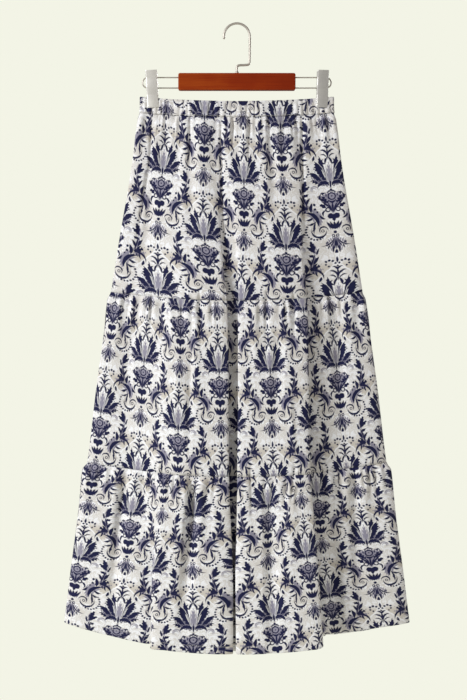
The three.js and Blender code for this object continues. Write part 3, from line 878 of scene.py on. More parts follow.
    # The bouquet: a fan of petals round the foot of its stems, in rings by their reach
    reach, lean = paint.polar(near, (0.0, 121.0), -90)
    fanned = {"Vector": paint.point(lean * 31.0, reach), "Scale": 0.21}
    cells = paint.number("ShaderNodeTexVoronoi", "Distance", {"voronoi_dimensions": "2D"}, fanned)
    torn = paint.noise(near, 0.5, 1.0, flat=True)
    whole_fan = (37.5 - reach + (lean * 19.0).sin() * 1.4).within((0.66 - lean) * reach)
    middle = paint.distance(near, (0.0, 92.5))
    petals = ((2.5 - cells * 4.8) + torn.scaled(3.2, -1.6)).within(whole_fan).within(middle - 7.6)
    petals = petals.within(reach - 17.0)
    bouquet = paint.joined([
        petals,
        1.3 - abs(middle - 5.4),
        disc(near, (0, 92.5), 1.3),
        disc(near, (0, 82), 2.3),
        leaf(near, (0, 120), (0, 99), 1.7),
        leaf(near, (0.5, 120), (8.5, 101), 1.5, bend=1.2),
        leaf(near, (0.5, 120), (17, 100), 1.6, bend=2.6),
        leaf(near, (9, 112), (20.5, 105), 3.0, bend=1.0, teeth=0.6),
        leaf(near, (6, 104), (22, 94), 2.4, bend=1.0, teeth=0.5),
    ])
    navy = paint.joined([palmette, crown, stem, spray, claw, scroll, heart, tassel, bouquet])

    # Grey engraving beside the navy: inside the white lozenge, along the trunk, in the bouquet and tassel
    hatch = paint.dot(near, (1.9, 0.7)).sin() * 1.1
    strands = (lean * 52.0).sin() * 1.6
    engraved = paint.joined([
        leaf(upper, (0, 72), (0, 38), 3.4) + hatch,
        leaf(upper, (0, 76), (4.5, 44), 1.0, bend=-1.0),
        sweep(lower, (43, 131), (22.5, 20.5), (150, 250), 4.4) + hatch,
        sweep(lower, (43, 134.5), (14.0, 13.4), (165, 270), 1.6),
        whole_fan.within(35.0 - reach) + strands,
        leaf(lower, (1, 157), (7, 181), 4.6, bend=-1.2) + hatch * 1.6,
        leaf(lower, (2, 160), (14, 174), 1.8, bend=2.0) + hatch * 1.6,
        leaf(lower, (36, 116), (56, 111), 3.0) + hatch,
        leaf(upper, (45, 88), (42, 68), 3.0) + hatch,
        leaf(upper, (3, 74), (29, 56), 6.8) + hatch * 1.6,
        leaf(lower, (37, 111), (46, 88), 3.2) + hatch,
        leaf(lower, (0, 143), (8, 144), 2.8) + hatch,
        sweep(upper, (25.6, 80.6), (6.4, 5.4), (175, 385), 1.0),
        sweep(upper, (26.2, 80.6), (3.8, 3.0), (190, 420), 0.8),
    ])

    # Greige ground: a streaked fan beside the crown under a white line, and faint swirls round the tassel
    swirl = paint.noise(near, 0.06, 2.0, distortion=1.6, flat=True)
    slope = paint.dot(upper, (0.70, -0.71))
    stretched = paint.vector("MULTIPLY", upper, (0.86, 1.0, 0.0))
    fan = (17.0 - paint.distance(stretched, (18.0, 14.0))).within(slope + 1.6)
    fade = (paint.dot(upper, (0.0, 1.0)) - 1.5).ink(7.0)
    rays = (slope * 0.9 + paint.dot(upper, (0.5, 0.2))).sin() * 1.2
    below = (7.0 - abs(slope + 6.0)).within(14.0 - paint.distance(upper, (20.0, 26.0))) - 1.0
    bloom = (11.0 - paint.distance(lower, (19.0, 171.0))).over(17.0 - paint.distance(upper, (53.0, 44.0)))
    ground = ((fan + rays).ink(1.6) * fade).over(below.ink(2.0) * 0.4)
    faint = (bloom + (swirl * 40.0).sin() * 7.0).ink(2.0) * 0.7
    greige = ground.over(faint).over((swirl * 26.0).sin().ink(0.6) * 0.6)
    white_line = (0.8 - abs(slope + 1.6)).ink(0.4) * (34.0 - paint.distance(upper, (14.0, 16.0))).ink(4.0)
    greige = greige * (1 - white_line)

    ground_colour = paint.blend(greige, rgba(colours["ground"]), rgba(colours["greige"]))
    grey_cover = engraved.ink(GREY_EDGE) * 0.9
    grey_colour = paint.blend(grey_cover, ground_colour, rgba(colours["grey"]))
    navy_cover = (navy - INK_INSET).ink(NAVY_EDGE)
    colour = paint.blend(navy_cover, grey_colour, rgba(colours["navy"]))
    cover = navy_cover.over(grey_cover * 0.5)
    paint.node("NodeGroupOutput", None, {"Color": colour, "Cover": cover})
    return tree


def linear(red, green, blue):
    """A colour given as on a screen, from 0 to 255, as the linear light that shaders take."""
    return tuple(((c / 255 + 0.055) / 1.055) ** 2.4 for c in (red, green, blue))


# How the print lies on the front of each tier: millimetres of flat cloth, their places across at the
# seam above and at the lower edge in thousandths of the width, and how much higher the print sits there
PLACE_COLUMNS = "flat seam edge shift"
PRINT_PLACES = {
    "tier1": table(
        PLACE_COLUMNS,
        (-225, -558, -520, -13),
        (-150, -361, -325, -20),
        (-75, -164, -130, -28),
        (0, 31, 40, -33.5),
        (75, 218, 201, -43.8),
        (150, 443, 412, -43.5),
        (225, 668, 623, -44),
    ),
    "tier2": table(
        PLACE_COLUMNS,
        (-450, -591, -591, -30),
        (-300, -357, -352, -36),
        (-225, -241, -230, -45.7),
        (0, 125, 134, -45.6),
        (150, 375, 383, -45.6),
        (300, 625, 633, -45.6),
    ),
    "tier3": table(
        PLACE_COLUMNS,
        (-300, -585, -600, -15),
        (-225, -471, -486, -12.9),
        (-150, -351, -381, -10.6),
        (0, -180, -162, 0.2),
        (50, -99, -92, 6.2),
        (55, -91, -60, 6.8),
        (70, -49, 38, 8.6),
        (101, 37, 81, 12.3),
        (150, 116, 150, 18.2),
        (300, 293, 329, 30.5),
        (375, 403, 439, 25.4),
        (450, 520, 545, 22),
    ),
}

# Cut of one panel of each tier, half of the way round, and the piece it hangs from
TIER_COLUMNS = ("name", "top", "bottom", "width", "length", "above")
TIER_ROWS = (
    ("tier1", BAND_SEAM, FIRST_SEAM, 0.385, 0.298, "waistband"),
    ("tier2", FIRST_SEAM, SECOND_SEAM, 0.615, 0.295, "tier1"),
    ("tier3", SECOND_SEAM, HEM, 0.668, 0.312, "tier2"),
)
TIERS = [dict(zip(TIER_COLUMNS, row)) for row in TIER_ROWS]
TIER_CREASES = 14

# Where the print lies on the back panels, across and down
BACK_PLACE = (0.04, -0.03)

# How far the seam allowance at a tier's top lies inside, and how far it reaches up
SEAM_INSET = 0.0012
SEAM_ALLOWANCE = 0.006

# How far the turned hem lies inside, how far it reaches up, and the height of its stitches
HEM_INSET = 0.001
HEM_TURN = 0.012
HEM_STITCHES = 0.8 * HEM_TURN

# The folded casing: rows down, height and width of one half, how far each side of it lies from its middle
# surface, and the height of the stitches over its seam
CASING_ROWS = 12
CASING_HEIGHT = 0.025
CASING_HALF = 0.00085
CASING_STITCHES = 0.0016


def flat_places(tier, face, across, down):
    """Flat cloth coordinates in metres at places across and down a panel."""
    if face == "back":
        return across * tier["width"] + BACK_PLACE[0], down * tier["length"] + BACK_PLACE[1]
    places = PRINT_PLACES[tier["name"]]
    at_seam = np.interp(across, places["seam"], places["flat"])
    at_edge = np.interp(across, places["edge"], places["flat"])
    u = at_seam + (at_edge - at_seam) * np.clip(down, 0, 1)
    return u, down * tier["length"] + np.interp(u, places["flat"], places["shift"])


def new_material(name):
    """A new material, the Paint of its node tree, and its shader."""
    material = bpy.data.materials.new(name)
    material.use_nodes = True
    tree = material.node_tree
    return material, Paint(tree), tree.nodes["Principled BSDF"]


def cloth_material(name, printed, faded, ground, thread_pitch):
    """Printed plain weave. Faded is how much of the ground shows through the ink."""
    material, paint, shader = new_material(name)
    flat = paint.node("ShaderNodeUVMap", {"uv_map": "flat_cloth"}).outputs["UV"]
    printed = paint.node("ShaderNodeGroup", {"node_tree": printed}, {"Flat cloth": flat}).outputs
    colour = paint.blend(faded, printed["Color"], rgba(ground))
    slub = paint.noise(flat, 900.0, 2.0, flat=True)
    worn = paint.noise(flat, 14.0, 3.0, flat=True)
    tone = slub * 0.1 + worn * 0.06 + 0.9
    multiplied = {"data_type": "RGBA", "blend_type": "MULTIPLY"}
    shade = paint.node("ShaderNodeMix", multiplied, {0: 1.0, 6: colour, 7: tone}).outputs[2]
    pitch = 2 * math.pi / thread_pitch
    split = paint.node("ShaderNodeSeparateXYZ", None, {0: flat}).outputs
    warp = (Number(paint, split[0]) * pitch).sin()
    weft = (Number(paint, split[1]) * pitch).sin()
    weave = warp * weft * 0.5 + slub
    paint.feed(shader, {
        "Base Color": shade,
        "Roughness": Number(paint, printed["Cover"]) * -0.08 + 0.88,
        "Normal": paint.bump(0.35, 0.00012, weave),
        "Specular IOR Level": 0.25,
        "Sheen Weight": 0.12,
        "Sheen Roughness": 0.5,
    })
    return material


def wood_material(settings):
    """Reddish stained wood with fine grain along the bar, lighter towards its left end and darker towards its
    right, and a satin coat.
    """
    material, paint, shader = new_material("stained_wood")
    place = paint.node("ShaderNodeTexCoord").outputs["Object"]
    along = paint.vector("MULTIPLY", place, (4.0, 210.0, 210.0))
    rings = (paint.noise(along, 1.0, 3.0, distortion=0.6) * 16.0).sin() * 0.5 + 0.5
    fine = paint.vector("MULTIPLY", place, (24.0, 900.0, 900.0))
    fibre = paint.noise(fine, 1.0, 4.0)
    patch = paint.noise(place, 26.0, 2.0)
    # Drift makes the bar lighter towards its left end and darker towards its right.
    drift = paint.dot(place, (-2.4, 0.0))
    grain = rings * 0.16 + fibre * 0.5 + patch * 0.4 + drift
    dark, middle, light = settings.stain_dark, settings.stain, settings.stain_light
    colour = paint.ramp(grain, ((0.25, dark), (0.52, middle), (0.85, light)))
    edge = paint.node("ShaderNodeNewGeometry").outputs["Pointiness"]
    worn = Number(paint, edge).scaled(9.0, -4.75).within(0.35).over(0.0)
    paint.feed(shader, {
        "Base Color": paint.blend(worn, colour, rgba(light)),
        "Roughness": fibre * 0.18 + 0.42,
        "Normal": paint.bump(0.25, 0.0002, fibre + rings * 0.4),
        "Specular IOR Level": 0.1,
        "Coat Weight": 0.03,
        "Coat Roughness": 0.35,
    })
    return material


# Darkest tone of metal and of thread, as a share of their colour
METAL_DARKEST = 0.6
THREAD_DARKEST = 0.72


def metal_material(name, colour, roughness, metallic, stretch, drift=0.0):
    """Metal with scratches. Stretch is how often they come along each axis, and drift paints shade that darkens
    the right and lightens the left.
    """
    material, paint, shader = new_material(name)
    place = paint.node("ShaderNodeTexCoord").outputs["Object"]
    drawn = paint.vector("MULTIPLY", place, stretch)
    scratch = paint.noise(drawn, 1.0, 3.0)
    haze = paint.noise(place, 60.0, 3.0)
    # Scratches and haze vary the metal's own tone; drift adds painted shade, lighter at the left and darker at
    # the right.
    finish_and_painted_shade = scratch * 0.5 + haze * 0.4 + paint.dot(place, (-drift, 0.0))
    paint.feed(shader, {
        "Base Color": paint.blend(finish_and_painted_shade, rgba(colour, METAL_DARKEST), rgba(colour)),
        "Roughness": scratch * 0.16 + haze * 0.14 + (roughness - 0.15),
        "Normal": paint.bump(0.15, 0.0001, scratch),
        "Metallic": metallic,
    })
    return material


def thread_material(colour):
    """Twisted sewing thread."""
    material, paint, shader = new_material("sewing_thread")
    twist = paint.noise(paint.node("ShaderNodeTexCoord").outputs["Object"], 900.0, 1.0)
    shade = paint.blend(twist, rgba(colour, THREAD_DARKEST), rgba(colour))
    paint.feed(shader, {"Base Color": shade, "Roughness": twist * 0.2 + 0.6})
    return material


class ClothSettings(bpy.types.PropertyGroup):
    """Cloth and sewing of the skirt"""

    thickness: bpy.props.FloatProperty(
        name="Cloth thickness", description="Thickness of the printed cloth", default=0.0007, unit="LENGTH"
    )
    thread_pitch: bpy.props.FloatProperty(
        name="Thread pitch",
        description="Distance between threads of the weave",
        default=0.0009,
        unit="LENGTH",
    )
    columns: bpy.props.IntProperty(
        name="Columns", description="Steps across one panel of cloth", default=420, min=60, max=480
    )
    rows: bpy.props.IntProperty(name="Rows", description="Steps down one tier", default=64, min=12, max=90)
    stitch: bpy.props.FloatProperty(
        name="Stitch length", description="Length of one stitch", default=0.0024, unit="LENGTH"
    )
    stitch_step: bpy.props.FloatProperty(
        name="Stitch step", description="Distance from one stitch to the next", default=0.0031, unit="LENGTH"
    )
    thread: bpy.props.FloatProperty(
        name="Thread", description="Diameter of the sewing thread", default=0.0004, unit="LENGTH"
    )
    thread_colour: bpy.props.FloatVectorProperty(
        name="Thread colour",
        description="Colour of the sewing thread",
        subtype="COLOR",
        default=linear(226, 223, 216),
    )


class PrintSettings(bpy.types.PropertyGroup):
    """Colours of the damask print"""

    ground: bpy.props.FloatVectorProperty(
        name="Ground", description="Unprinted cloth", subtype="COLOR", default=linear(239, 240, 242)
    )
    greige: bpy.props.FloatVectorProperty(
        name="Greige",
        description="Soft fans and swirls of the ground",
        subtype="COLOR",
        default=linear(205, 199, 189),
    )
    grey: bpy.props.FloatVectorProperty(
        name="Grey",
        description="Engraved shading beside the motifs",
        subtype="COLOR",
        default=linear(128, 125, 145),
    )
    navy: bpy.props.FloatVectorProperty(
        name="Navy", description="Leaves, scrolls and dots", subtype="COLOR", default=linear(12, 17, 60)
    )
    faded: bpy.props.FloatProperty(
        name="Wrong side",
        description="How much paler the print is on the wrong side",
        default=0.5,
        subtype="FACTOR",
    )


class HangerSettings(bpy.types.PropertyGroup):
    """Finishes of the hanger"""

    stain_dark: bpy.props.FloatVectorProperty(
        name="Dark stain", description="Darkest grain of the bar", subtype="COLOR", default=linear(110, 22, 0)
    )
    stain: bpy.props.FloatVectorProperty(
        name="Stain", description="Main colour of the bar", subtype="COLOR", default=linear(132, 38, 3)
    )
    stain_light: bpy.props.FloatVectorProperty(
        name="Light stain",
        description="Lightest grain of the bar",
        subtype="COLOR",
        default=linear(158, 66, 14),
    )
    nickel: bpy.props.FloatVectorProperty(
        name="Nickel", description="Hook and rails", subtype="COLOR", default=linear(216, 209, 198)
    )
    steel: bpy.props.FloatVectorProperty(
        name="Clip steel",
        description="Plates and springs of the clips",
        subtype="COLOR",
        default=linear(241, 239, 232),
    )


class StageSettings(bpy.types.PropertyGroup):
    """Light and surroundings"""

    room: bpy.props.FloatVectorProperty(
        name="Room",
        description="Pale colour of the surroundings",
        subtype="COLOR",
        default=linear(243, 244, 230),
    )
    room_light: bpy.props.FloatVectorProperty(
        name="Room light",
        description="Light that the surroundings give",
        subtype="COLOR",
        default=(0.30, 0.28, 0.265),
    )
    key_power: bpy.props.FloatProperty(
        name="Key light", description="Power of the large soft light at the left", default=196.0, unit="POWER"
    )
    fill_power: bpy.props.FloatProperty(
        name="Fill light", description="Power of the soft light in front", default=13.0, unit="POWER"
    )


# Camera in front of the skirt and where the lamps aim, the lamps' daylight colour, and how much stronger
# the lamp behind the skirt is than the fill
CAMERA_LENS = 82.0
CAMERA_PLACE = (-0.0055, -2.6, -0.5306)
LAMP_AIM = (0, 0, -0.55)
LAMP_COLOUR = (0.965, 0.98, 1.0)
BACK_SHARE = 3.8
FLOOR_RADIUS = 1.6
FLOOR_HEIGHT = -1.5


class SKIRT_OT_stage(bpy.types.Operator):
    """The camera, the soft lights, the pale floor and the pale surroundings"""

    bl_idname = "skirt.stage"
    bl_label = "Stage"

    def execute(self, context):
        settings = context.scene.skirt_stage
        context.scene.view_settings.view_transform = "Standard"
        camera = linked("camera", bpy.data.cameras.new("camera"))
        camera.data.sensor_width = 36
        camera.data.lens = CAMERA_LENS
        camera.data.clip_end = 50
        camera.location = CAMERA_PLACE
        camera.rotation_euler = (math.pi / 2, 0, 0)
        context.scene.camera = camera
        world = bpy.data.worlds.new("pale_room")
        world.use_nodes = True
        paint = Paint(world.node_tree)
        seen = paint.number("ShaderNodeLightPath", "Is Camera Ray")
        room = paint.blend(seen, rgba(settings.room_light), rgba(settings.room))
        paint.feed(world.node_tree.nodes["Background"], {"Color": room})
        context.scene.world = world
        lamps = (
            ("key", 1.3, settings.key_power, (-3.6, -2.5, 0.9)),
            ("fill", 1.6, settings.fill_power, (2.6, -1.9, -0.5)),
            ("back", 1.4, BACK_SHARE * settings.fill_power, (0.9, 2.5, 0.4)),
        )
        for name, size, power, place in lamps:
            light = bpy.data.lights.new(name, "AREA")
            light.size = size
            light.energy = power
            light.color = LAMP_COLOUR
            linked(name, light).matrix_world = aimed(place, LAMP_AIM)
        floor = bmesh.new()
        bmesh.ops.create_circle(floor, cap_ends=True, segments=96, radius=FLOOR_RADIUS)
        ground = built_object("floor", floor)
        ground.data.transform(Matrix.Translation((0, 0, FLOOR_HEIGHT)))
        material, paint, shader = new_material("pale_floor")
        paint.feed(shader, {"Base Color": rgba(settings.room), "Roughness": 0.9})
        ground.data.materials.append(material)
        return {"FINISHED"}


def aimed(place, target):
    """The matrix of a light at a place that looks at a target."""
    look = Vector(target) - Vector(place)
    return Matrix.Translation(place) @ look.to_track_quat("-Z", "Y").to_matrix().to_4x4()


def cloth_materials(context):
    """The right and wrong side of the printed cloth, made once."""
    if "damask_right_side" not in bpy.data.materials:
        colours = context.scene.skirt_print
        inks = {name: tuple(getattr(colours, name)) for name in ("ground", "greige", "grey", "navy")}
        group = damask_group(inks)
        cloth = context.scene.skirt_cloth
        cloth_material("damask_right_side", group, 0.0, colours.ground, cloth.thread_pitch)
        cloth_material("damask_wrong_side", group, colours.faded, colours.ground, cloth.thread_pitch)
    return [bpy.data.materials[name] for name in ("damask_right_side", "damask_wrong_side")]


def tier_rows(tier, face, cloth):
    """Rows of points of one tier's panel with its seam allowance and, at the hem, the turned edge."""
    order = TIERS.index(tier)
    top = tier["top"] - SEAM_GAP / 2
    bottom = tier["bottom"] + (0 if tier["bottom"] == HEM else SEAM_GAP / 2)
    seed = 20 + 10 * order + (face == "back")
    waves = GATHER_WAVES[tier["name"]]
    rows, across, down = wall_rows(face, top, bottom, cloth.columns, cloth.rows, waves, seed, TIER_CREASES)
    allowance = moved_out(rows[:1], face, -SEAM_INSET, SEAM_ALLOWANCE)
    rows = np.concatenate((allowance, moved_out(rows[:1], face, -SEAM_INSET), rows))
    across = np.concatenate((across[:1], across[:1], across))
    hidden = np.array((SEAM_ALLOWANCE, SEAM_INSET))[:, None] / tier["length"]
    down = np.concatenate((down[:1] - hidden, down))
    if tier["bottom"] == HEM:
        edge = moved_out(rows[-1:], face, -HEM_INSET / 2, -HEM_INSET / 2)
        inside = moved_out(rows[-1:], face, -HEM_INSET)
        turned = moved_out(rows[-1:], face, -HEM_INSET, HEM_TURN)
        rows = np.concatenate((rows, edge, inside, turned))
        across = np.concatenate((across, np.repeat(across[-1:], 3, axis=0)))
        turn = np.array((HEM_INSET, 2 * HEM_INSET, 2 * HEM_INSET + HEM_TURN))[:, None] / tier["length"]
        down = np.concatenate((down, down[-1:] + turn))
    return rows, across, down


def casing_rows(face, cloth):
    """Rows of points of the middle surface of the waistband casing."""
    bottom = BAND_SEAM + SEAM_GAP / 2
    seed = 7 + (face == "back")
    waves = GATHER_WAVES["band"]
    return wall_rows(face, WAIST_TOP, bottom, cloth.columns, CASING_ROWS, waves, seed, 0)


class SKIRT_OT_tiers(bpy.types.Operator):
    """The three gathered tiers, front and back, as thin cloth on the solids' form"""

    bl_idname = "skirt.tiers"
    bl_label = "Tiers"

    def execute(self, context):
        cloth = context.scene.skirt_cloth
        materials = cloth_materials(context)
        for tier in TIERS:
            for face in ("front", "back"):
                rows, across, down = tier_rows(tier, face, cloth)
                u, v = flat_places(tier, face, across, down)
                name = tier["name"]
                piece = cloth_object(f"{name}_cloth_{face}", rows, u, v, face, materials, cloth.thickness)
                finished(piece, "printed_cloth", f"{name}_{face}")
        return {"FINISHED"}


class SKIRT_OT_waistband(bpy.types.Operator):
    """The waistband casing, a strip folded over its elastic"""

    bl_idname = "skirt.waistband"
    bl_label = "Waistband"

    def execute(self, context):
        cloth = context.scene.skirt_cloth
        materials = cloth_materials(context)
        lip_turns = CASING_HALF * np.exp(1j * np.radians((135, 90, 45)))
        for face in ("front", "back"):
            rows, across, down = casing_rows(face, cloth)
            lip = [moved_out(rows[:1], face, turn.real, turn.imag) for turn in lip_turns]
            inner = moved_out(rows, face, -CASING_HALF)[::-1]
            whole = np.concatenate((inner, *lip, moved_out(rows, face, CASING_HALF)))
            folded = np.concatenate((-down[::-1], np.zeros((3, down.shape[1])), down)) - 1
            across = np.repeat(across[:1], len(whole), axis=0)
            u, v = flat_places(TIERS[0], face, across, folded * 0)
            v = v + folded * CASING_HEIGHT
            piece = cloth_object(f"waistband_cloth_{face}", whole, u, v, face, materials, cloth.thickness)
            finished(piece, "printed_cloth", f"waistband_{face}")
        return {"FINISHED"}


def stitch_tree(material):
    """Geometry Nodes that lay a row of stitches along a line."""
    tree = bpy.data.node_groups.new("row_of_stitches", "GeometryNodeTree")
    tree.interface.new_socket("Geometry", in_out="INPUT", socket_type="NodeSocketGeometry")
    for name in ("Stitch", "Step", "Thread"):
        tree.interface.new_socket(name, in_out="INPUT", socket_type="NodeSocketFloat")
    tree.interface.new_socket("Geometry", in_out="OUTPUT", socket_type="NodeSocketGeometry")
    paint = Paint(tree)
    given = paint.node("NodeGroupInput").outputs
    curve = paint.node("GeometryNodeMeshToCurve", None, {"Mesh": given["Geometry"]}).outputs["Curve"]
    points = paint.node(
        "GeometryNodeCurveToPoints", {"mode": "LENGTH"}, {"Curve": curve, "Length": given["Step"]}
    ).outputs
    length = Number(paint, given["Stitch"])
    radius = Number(paint, given["Thread"]) * 0.5
    bar = paint.node(
        "GeometryNodeMeshCylinder", None, {"Vertices": 6, "Side Segments": 3, "Radius": radius, "Depth": length}
    ).outputs["Mesh"]
    uneven = paint.node(
        "FunctionNodeRandomValue", {"data_type": "FLOAT"}, {2: 0.85, 3: 1.1, "Seed": 4}
    ).outputs[1]
    size = paint.node("ShaderNodeCombineXYZ", None, {0: 1.0, 1: 1.0, 2: uneven}).outputs[0]
    turned = paint.node(
        "FunctionNodeAlignRotationToVector", {"axis": "Z"}, {"Vector": points["Tangent"]}
    ).outputs["Rotation"]
    placed = paint.node(
        "GeometryNodeInstanceOnPoints",
        None,
        {"Points": points["Points"], "Instance": bar, "Rotation": turned, "Scale": size},
    ).outputs["Instances"]
    real = paint.node("GeometryNodeRealizeInstances", None, {"Geometry": placed}).outputs["Geometry"]
    dressed = paint.node("GeometryNodeSetMaterial", None, {"Geometry": real, "Material": material})
    paint.node("NodeGroupOutput", None, {"Geometry": dressed.outputs["Geometry"]})
    return tree


def stitched(name, line, tree, cloth):
    """Plain stitches along a line of points."""
    mesh = bpy.data.meshes.new(name)
    mesh.from_pydata(line.tolist(), [(i, i + 1) for i in range(len(line) - 1)], [])
    guide = linked(name + "_line", mesh)
    nodes = guide.modifiers.new("stitches", "NODES")
    nodes.node_group = tree
    sizes = {"Stitch": cloth.stitch, "Step": cloth.stitch_step, "Thread": cloth.thread}
    for item in tree.interface.items_tree:
        if item.in_out == "INPUT" and item.name in sizes:
            nodes[item.identifier] = sizes[item.name]
    evaluated = guide.evaluated_get(bpy.context.evaluated_depsgraph_get())
    piece = linked(name, bpy.data.meshes.new_from_object(evaluated))
    bpy.data.objects.remove(guide)
    return piece


class SKIRT_OT_sewing(bpy.types.Operator):
    """The topstitching under the waistband casing and along the hem"""

    bl_idname = "skirt.sewing"
    bl_label = "Sewing"

    def execute(self, context):
        cloth = context.scene.skirt_cloth
        tree = stitch_tree(thread_material(cloth.thread_colour))
        lift = cloth.thickness / 2 + cloth.thread / 4
        for face in ("front", "back"):
            band = casing_rows(face, cloth)[0]
            casing = moved_out(band[-1:], face, CASING_HALF + lift, CASING_STITCHES)[0, 2:-2]
            hem = tier_rows(TIERS[-1], face, cloth)[0]
            sewn = np.argmin(np.abs(hem[:-3, 0, 2] - HEM - HEM_STITCHES))
            above_hem = moved_out(hem[sewn : sewn + 1], face, lift)[0, 2:-2]
            for name, line in (("casing", casing), ("hem", above_hem)):
                finished(stitched(f"{name}_stitches_{face}", line, tree, cloth), "printed_cloth")
        return {"FINISHED"}


# Hanger, in metres as in the solids
HOOK_WIRE = 0.0039
HOOK_ARC = 0.021
SHANK_FOOT = -0.066
BAR_TOP = -0.0797
COLLAR = 0.0032
BAR_LENGTH = 0.191
RAIL_WIRE = 0.0022
RAIL_UPPER = -0.0864
RAIL_LOWER = -0.1035
RAIL_REACH = 0.1548
CLIP_WIDTH = 0.0188
CLIP_PLATE = 0.0012
CLIP_TOP = -0.0755
CLIP_BOTTOM = -0.136
CLIP_CENTRE = (RAIL_UPPER + RAIL_LOWER) / 2
SPRING_RADIUS = 0.0069
SPRING_LENGTH = 0.012
SPRING_WIRE = 0.0015
SPRING_TURNS = 5

# Place of each clip along the rails, and its tilt in degrees
CLIPS = {"left": (-0.1386, -2.9), "right": (0.1398, 1.5)}

# Bent clip plates: thickness of the sheet, radius of the folds at its sides, rounding of its edges, rows
# from top to bottom, how far it flares out at the top, and how far the jaws reach above the casing
PLATE_SHEET = 0.0010
PLATE_FOLD = 0.0012
PLATE_ROUNDING = 0.0003
PLATE_ROWS = 25
PLATE_FLARE = 0.0026
JAW_RISE = 0.004


def arc_points(centre_x, centre_z, radius, start, end, count):
    """Points of an arc in the XZ plane, between angles in degrees."""
    angles = np.radians(np.linspace(start, end, count + 1))
    return [(centre_x + radius * math.cos(a), 0, centre_z + radius * math.sin(a)) for a in angles]


def hook_line():
    """Middle line of the hook: the arc, the long side, and the step back to the middle of the bar."""
    centre_z = HOOK_WIRE / 2 - HOOK_ARC
    jog = 0.004
    rest = (
        (HOOK_ARC, centre_z - 0.016),
        (HOOK_ARC - 0.0004, SHANK_FOOT + 2 * jog),
        (HOOK_ARC - 0.0016, SHANK_FOOT + jog / 3),
        (HOOK_ARC - 2 * jog, SHANK_FOOT),
        (jog, SHANK_FOOT - 0.0004),
        (0.0008, SHANK_FOOT - jog / 2),
        (0, SHANK_FOOT - 2 * jog),
        (0, BAR_TOP + SEAM_GAP),
    )
    points = arc_points(0, centre_z, HOOK_ARC, 188, 0, 12) + [(x, 0, z) for x, z in rest]
    return rounded_path(points, 6)


def rail_line(side):
    """Middle line of one rail, out from the bar, round the end and back."""
    radius = (RAIL_UPPER - RAIL_LOWER) / 2
    start = BAR_LENGTH / 2 + SEAM_GAP
    turn_x = RAIL_REACH - RAIL_WIRE / 2 - radius
    straight = np.linspace(start, turn_x, 4)[:-1]
    points = [(x, 0, RAIL_UPPER) for x in straight]
    points += arc_points(turn_x, RAIL_LOWER + radius, radius, 90, -90, 8)
    points += [(x, 0, RAIL_LOWER) for x in straight[::-1]]
    return rounded_path([(side * x, y, z) for x, y, z in points], 5)


def plate_mesh(direction, inner_line):
    """A bent clip plate with turned-in side flanges and soft edges, about the clip's own centre."""
    half = (CLIP_WIDTH - PLATE_SHEET) / 2
    turns = PLATE_FOLD * (1 - np.exp(1j * np.radians((30, 60, 90))))
    mesh = bmesh.new()
    rows = []
    for y, z, flange in inner_line:
        front = y + CLIP_PLATE / 2
        section = [(-half, front - flange), (-half, front - PLATE_FOLD)]
        section += [(turn.real - half, front - PLATE_FOLD - turn.imag) for turn in turns]
        section += [(-x, y) for x, y in section[::-1]]
        rows.append([mesh.verts.new((x, direction * y, z)) for x, y in section])
    for upper, lower in zip(rows, rows[1:]):
        for k in range(len(upper) - 1):
            mesh.faces.new((upper[k], lower[k], lower[k + 1], upper[k + 1]))
    bmesh.ops.recalc_face_normals(mesh, faces=mesh.faces)
    return mesh


def plate_line(bends):
    """The rows of a plate, evenly set between its bends."""
    places = np.linspace(0, len(bends) - 1, PLATE_ROWS)
    return np.transpose([np.interp(places, range(len(bends)), column) for column in zip(*bends)])


def turned_clip(side):
    """The matrix that puts a clip's own centre on the rails, with its tilt."""
    x, tilt = CLIPS[side]
    return Matrix.Translation((x, 0, CLIP_CENTRE)) @ Matrix.Rotation(math.radians(tilt), 4, "Y")


class SKIRT_OT_wires(bpy.types.Operator):
    """The hook, the looped rails and the stained bar of the hanger"""

    bl_idname = "skirt.wires"
    bl_label = "Hook, rails and bar"

    def execute(self, context):
        settings = context.scene.skirt_hanger
        nickel = metal_material("satin_nickel", settings.nickel, 0.5, 0.8, (2500.0, 2500.0, 2500.0))
        hook = wire_object("hook_wire", hook_line(), HOOK_WIRE, 16, nickel)
        collar = bmesh.new()
        seated = Matrix.Translation((0, 0, BAR_TOP + SEAM_GAP + COLLAR / 2))
        radii = {"radius1": COLLAR, "radius2": 0.8 * COLLAR}
        bmesh.ops.create_cone(collar, cap_ends=True, segments=32, depth=COLLAR, matrix=seated, **radii)
        collar.from_mesh(hook.data)
        collar.to_mesh(hook.data)
        collar.free()
        finished(hook, "satin_nickel", "hook")
        for name, side in (("left", -1), ("right", 1)):
            rail = wire_object(f"rail_wire_{name}", rail_line(side), RAIL_WIRE, 12, nickel)
            finished(rail, "satin_nickel", f"rail_{name}")
        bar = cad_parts["hanger_bar"]
        wood = wood_material(settings)
        for place in bar.material_slots:
            place.material = wood
        return {"FINISHED"}


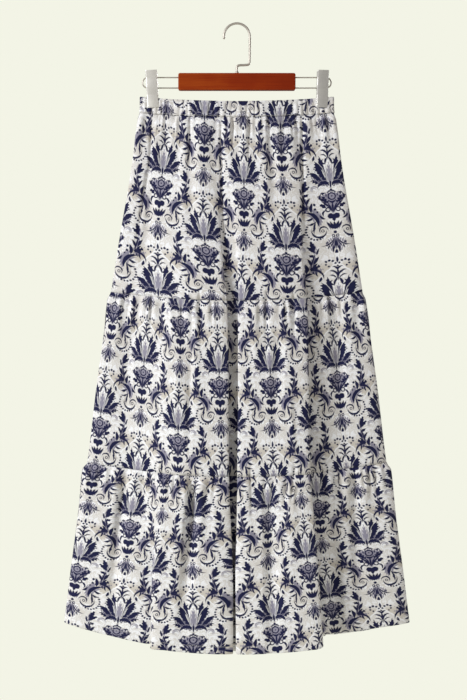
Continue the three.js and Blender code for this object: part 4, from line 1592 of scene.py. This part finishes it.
class SKIRT_OT_clips(bpy.types.Operator):
    """The bent plates and the coiled springs of the two clips"""

    bl_idname = "skirt.clips"
    bl_label = "Clips"

    def execute(self, context):
        settings = context.scene.skirt_hanger
        # The clip steel gets painted shade: its plates and springs are lighter at the left and darker at the
        # right.
        steel = metal_material("clip_steel", settings.steel, 0.42, 0.55, (2500.0, 2500.0, 120.0), 3.0)
        seat = SPRING_RADIUS + SEAM_GAP
        grip = SECTIONS["edge"][0] + CAD_BAND / 2 + 2 * SEAM_GAP

        # Bends of a plate: how far its inner face stands from the middle, height, and depth of its sides
        bends = (
            (seat + PLATE_FLARE, CLIP_TOP - CLIP_CENTRE, 0.0022),
            (seat, SPRING_RADIUS, 0.005),
            (seat, -SPRING_RADIUS, 0.005),
            (grip, WAIST_TOP + JAW_RISE - CLIP_CENTRE, 0.0016),
            (grip, CLIP_BOTTOM - CLIP_CENTRE, 0.0013),
        )
        for side in CLIPS:
            place = turned_clip(side)
            for face, direction in (("front", -1), ("back", 1)):
                plate = built_object(f"clip_{side}_plate_{face}", plate_mesh(direction, plate_line(bends)))
                plate.data.transform(place)
                plate.data.materials.append(steel)
                plate.data.shade_smooth()
                wall = plate.modifiers.new("plate", "SOLIDIFY")
                wall.thickness = PLATE_SHEET
                wall.offset = 0
                edge = plate.modifiers.new("edges", "BEVEL")
                edge.width = PLATE_ROUNDING
                edge.segments = 2
                finished(plate, "clip_steel", f"clip_{side}_{face}")
            angle = np.linspace(0, SPRING_TURNS * 2 * math.pi, SPRING_TURNS * 20 + 1)
            across = np.linspace(-0.5, 0.5, len(angle)) * (SPRING_LENGTH - SPRING_WIRE)
            radius = SPRING_RADIUS - SPRING_WIRE / 2
            coil = np.stack((across, radius * np.cos(angle), radius * np.sin(angle)), axis=-1)
            spring = wire_object(f"clip_{side}_coil", coil, SPRING_WIRE, 8, steel)
            spring.data.transform(place)
            finished(spring, "clip_steel", f"clip_{side}_spring")
        return {"FINISHED"}


STEPS = (SKIRT_OT_stage, SKIRT_OT_waistband, SKIRT_OT_tiers, SKIRT_OT_sewing, SKIRT_OT_wires, SKIRT_OT_clips)
SETTINGS = {
    "skirt_cloth": ClothSettings,
    "skirt_print": PrintSettings,
    "skirt_hanger": HangerSettings,
    "skirt_stage": StageSettings,
}


class SKIRT_PT_pieces(bpy.types.Panel):
    """The settings and the steps that make the skirt and its hanger"""

    bl_label = "Skirt on clip hanger"
    bl_idname = "SKIRT_PT_pieces"
    bl_space_type = "VIEW_3D"
    bl_region_type = "UI"
    bl_category = "Skirt"

    def draw(self, context):
        for name, group in SETTINGS.items():
            box = self.layout.box()
            for setting in group.__annotations__:
                box.prop(getattr(context.scene, name), setting)
        for step in STEPS:
            self.layout.operator(step.bl_idname)


def register():
    for kind in (*SETTINGS.values(), *STEPS, SKIRT_PT_pieces):
        bpy.utils.register_class(kind)
    for name, group in SETTINGS.items():
        setattr(bpy.types.Scene, name, bpy.props.PointerProperty(type=group))


def unregister():
    for name in SETTINGS:
        delattr(bpy.types.Scene, name)
    for kind in (SKIRT_PT_pieces, *STEPS[::-1], *SETTINGS.values()):
        bpy.utils.unregister_class(kind)


def main():
    register()
    for step in STEPS:
        getattr(bpy.ops.skirt, step.bl_idname.split(".")[1])()


if __name__ == "__main__":
    main()
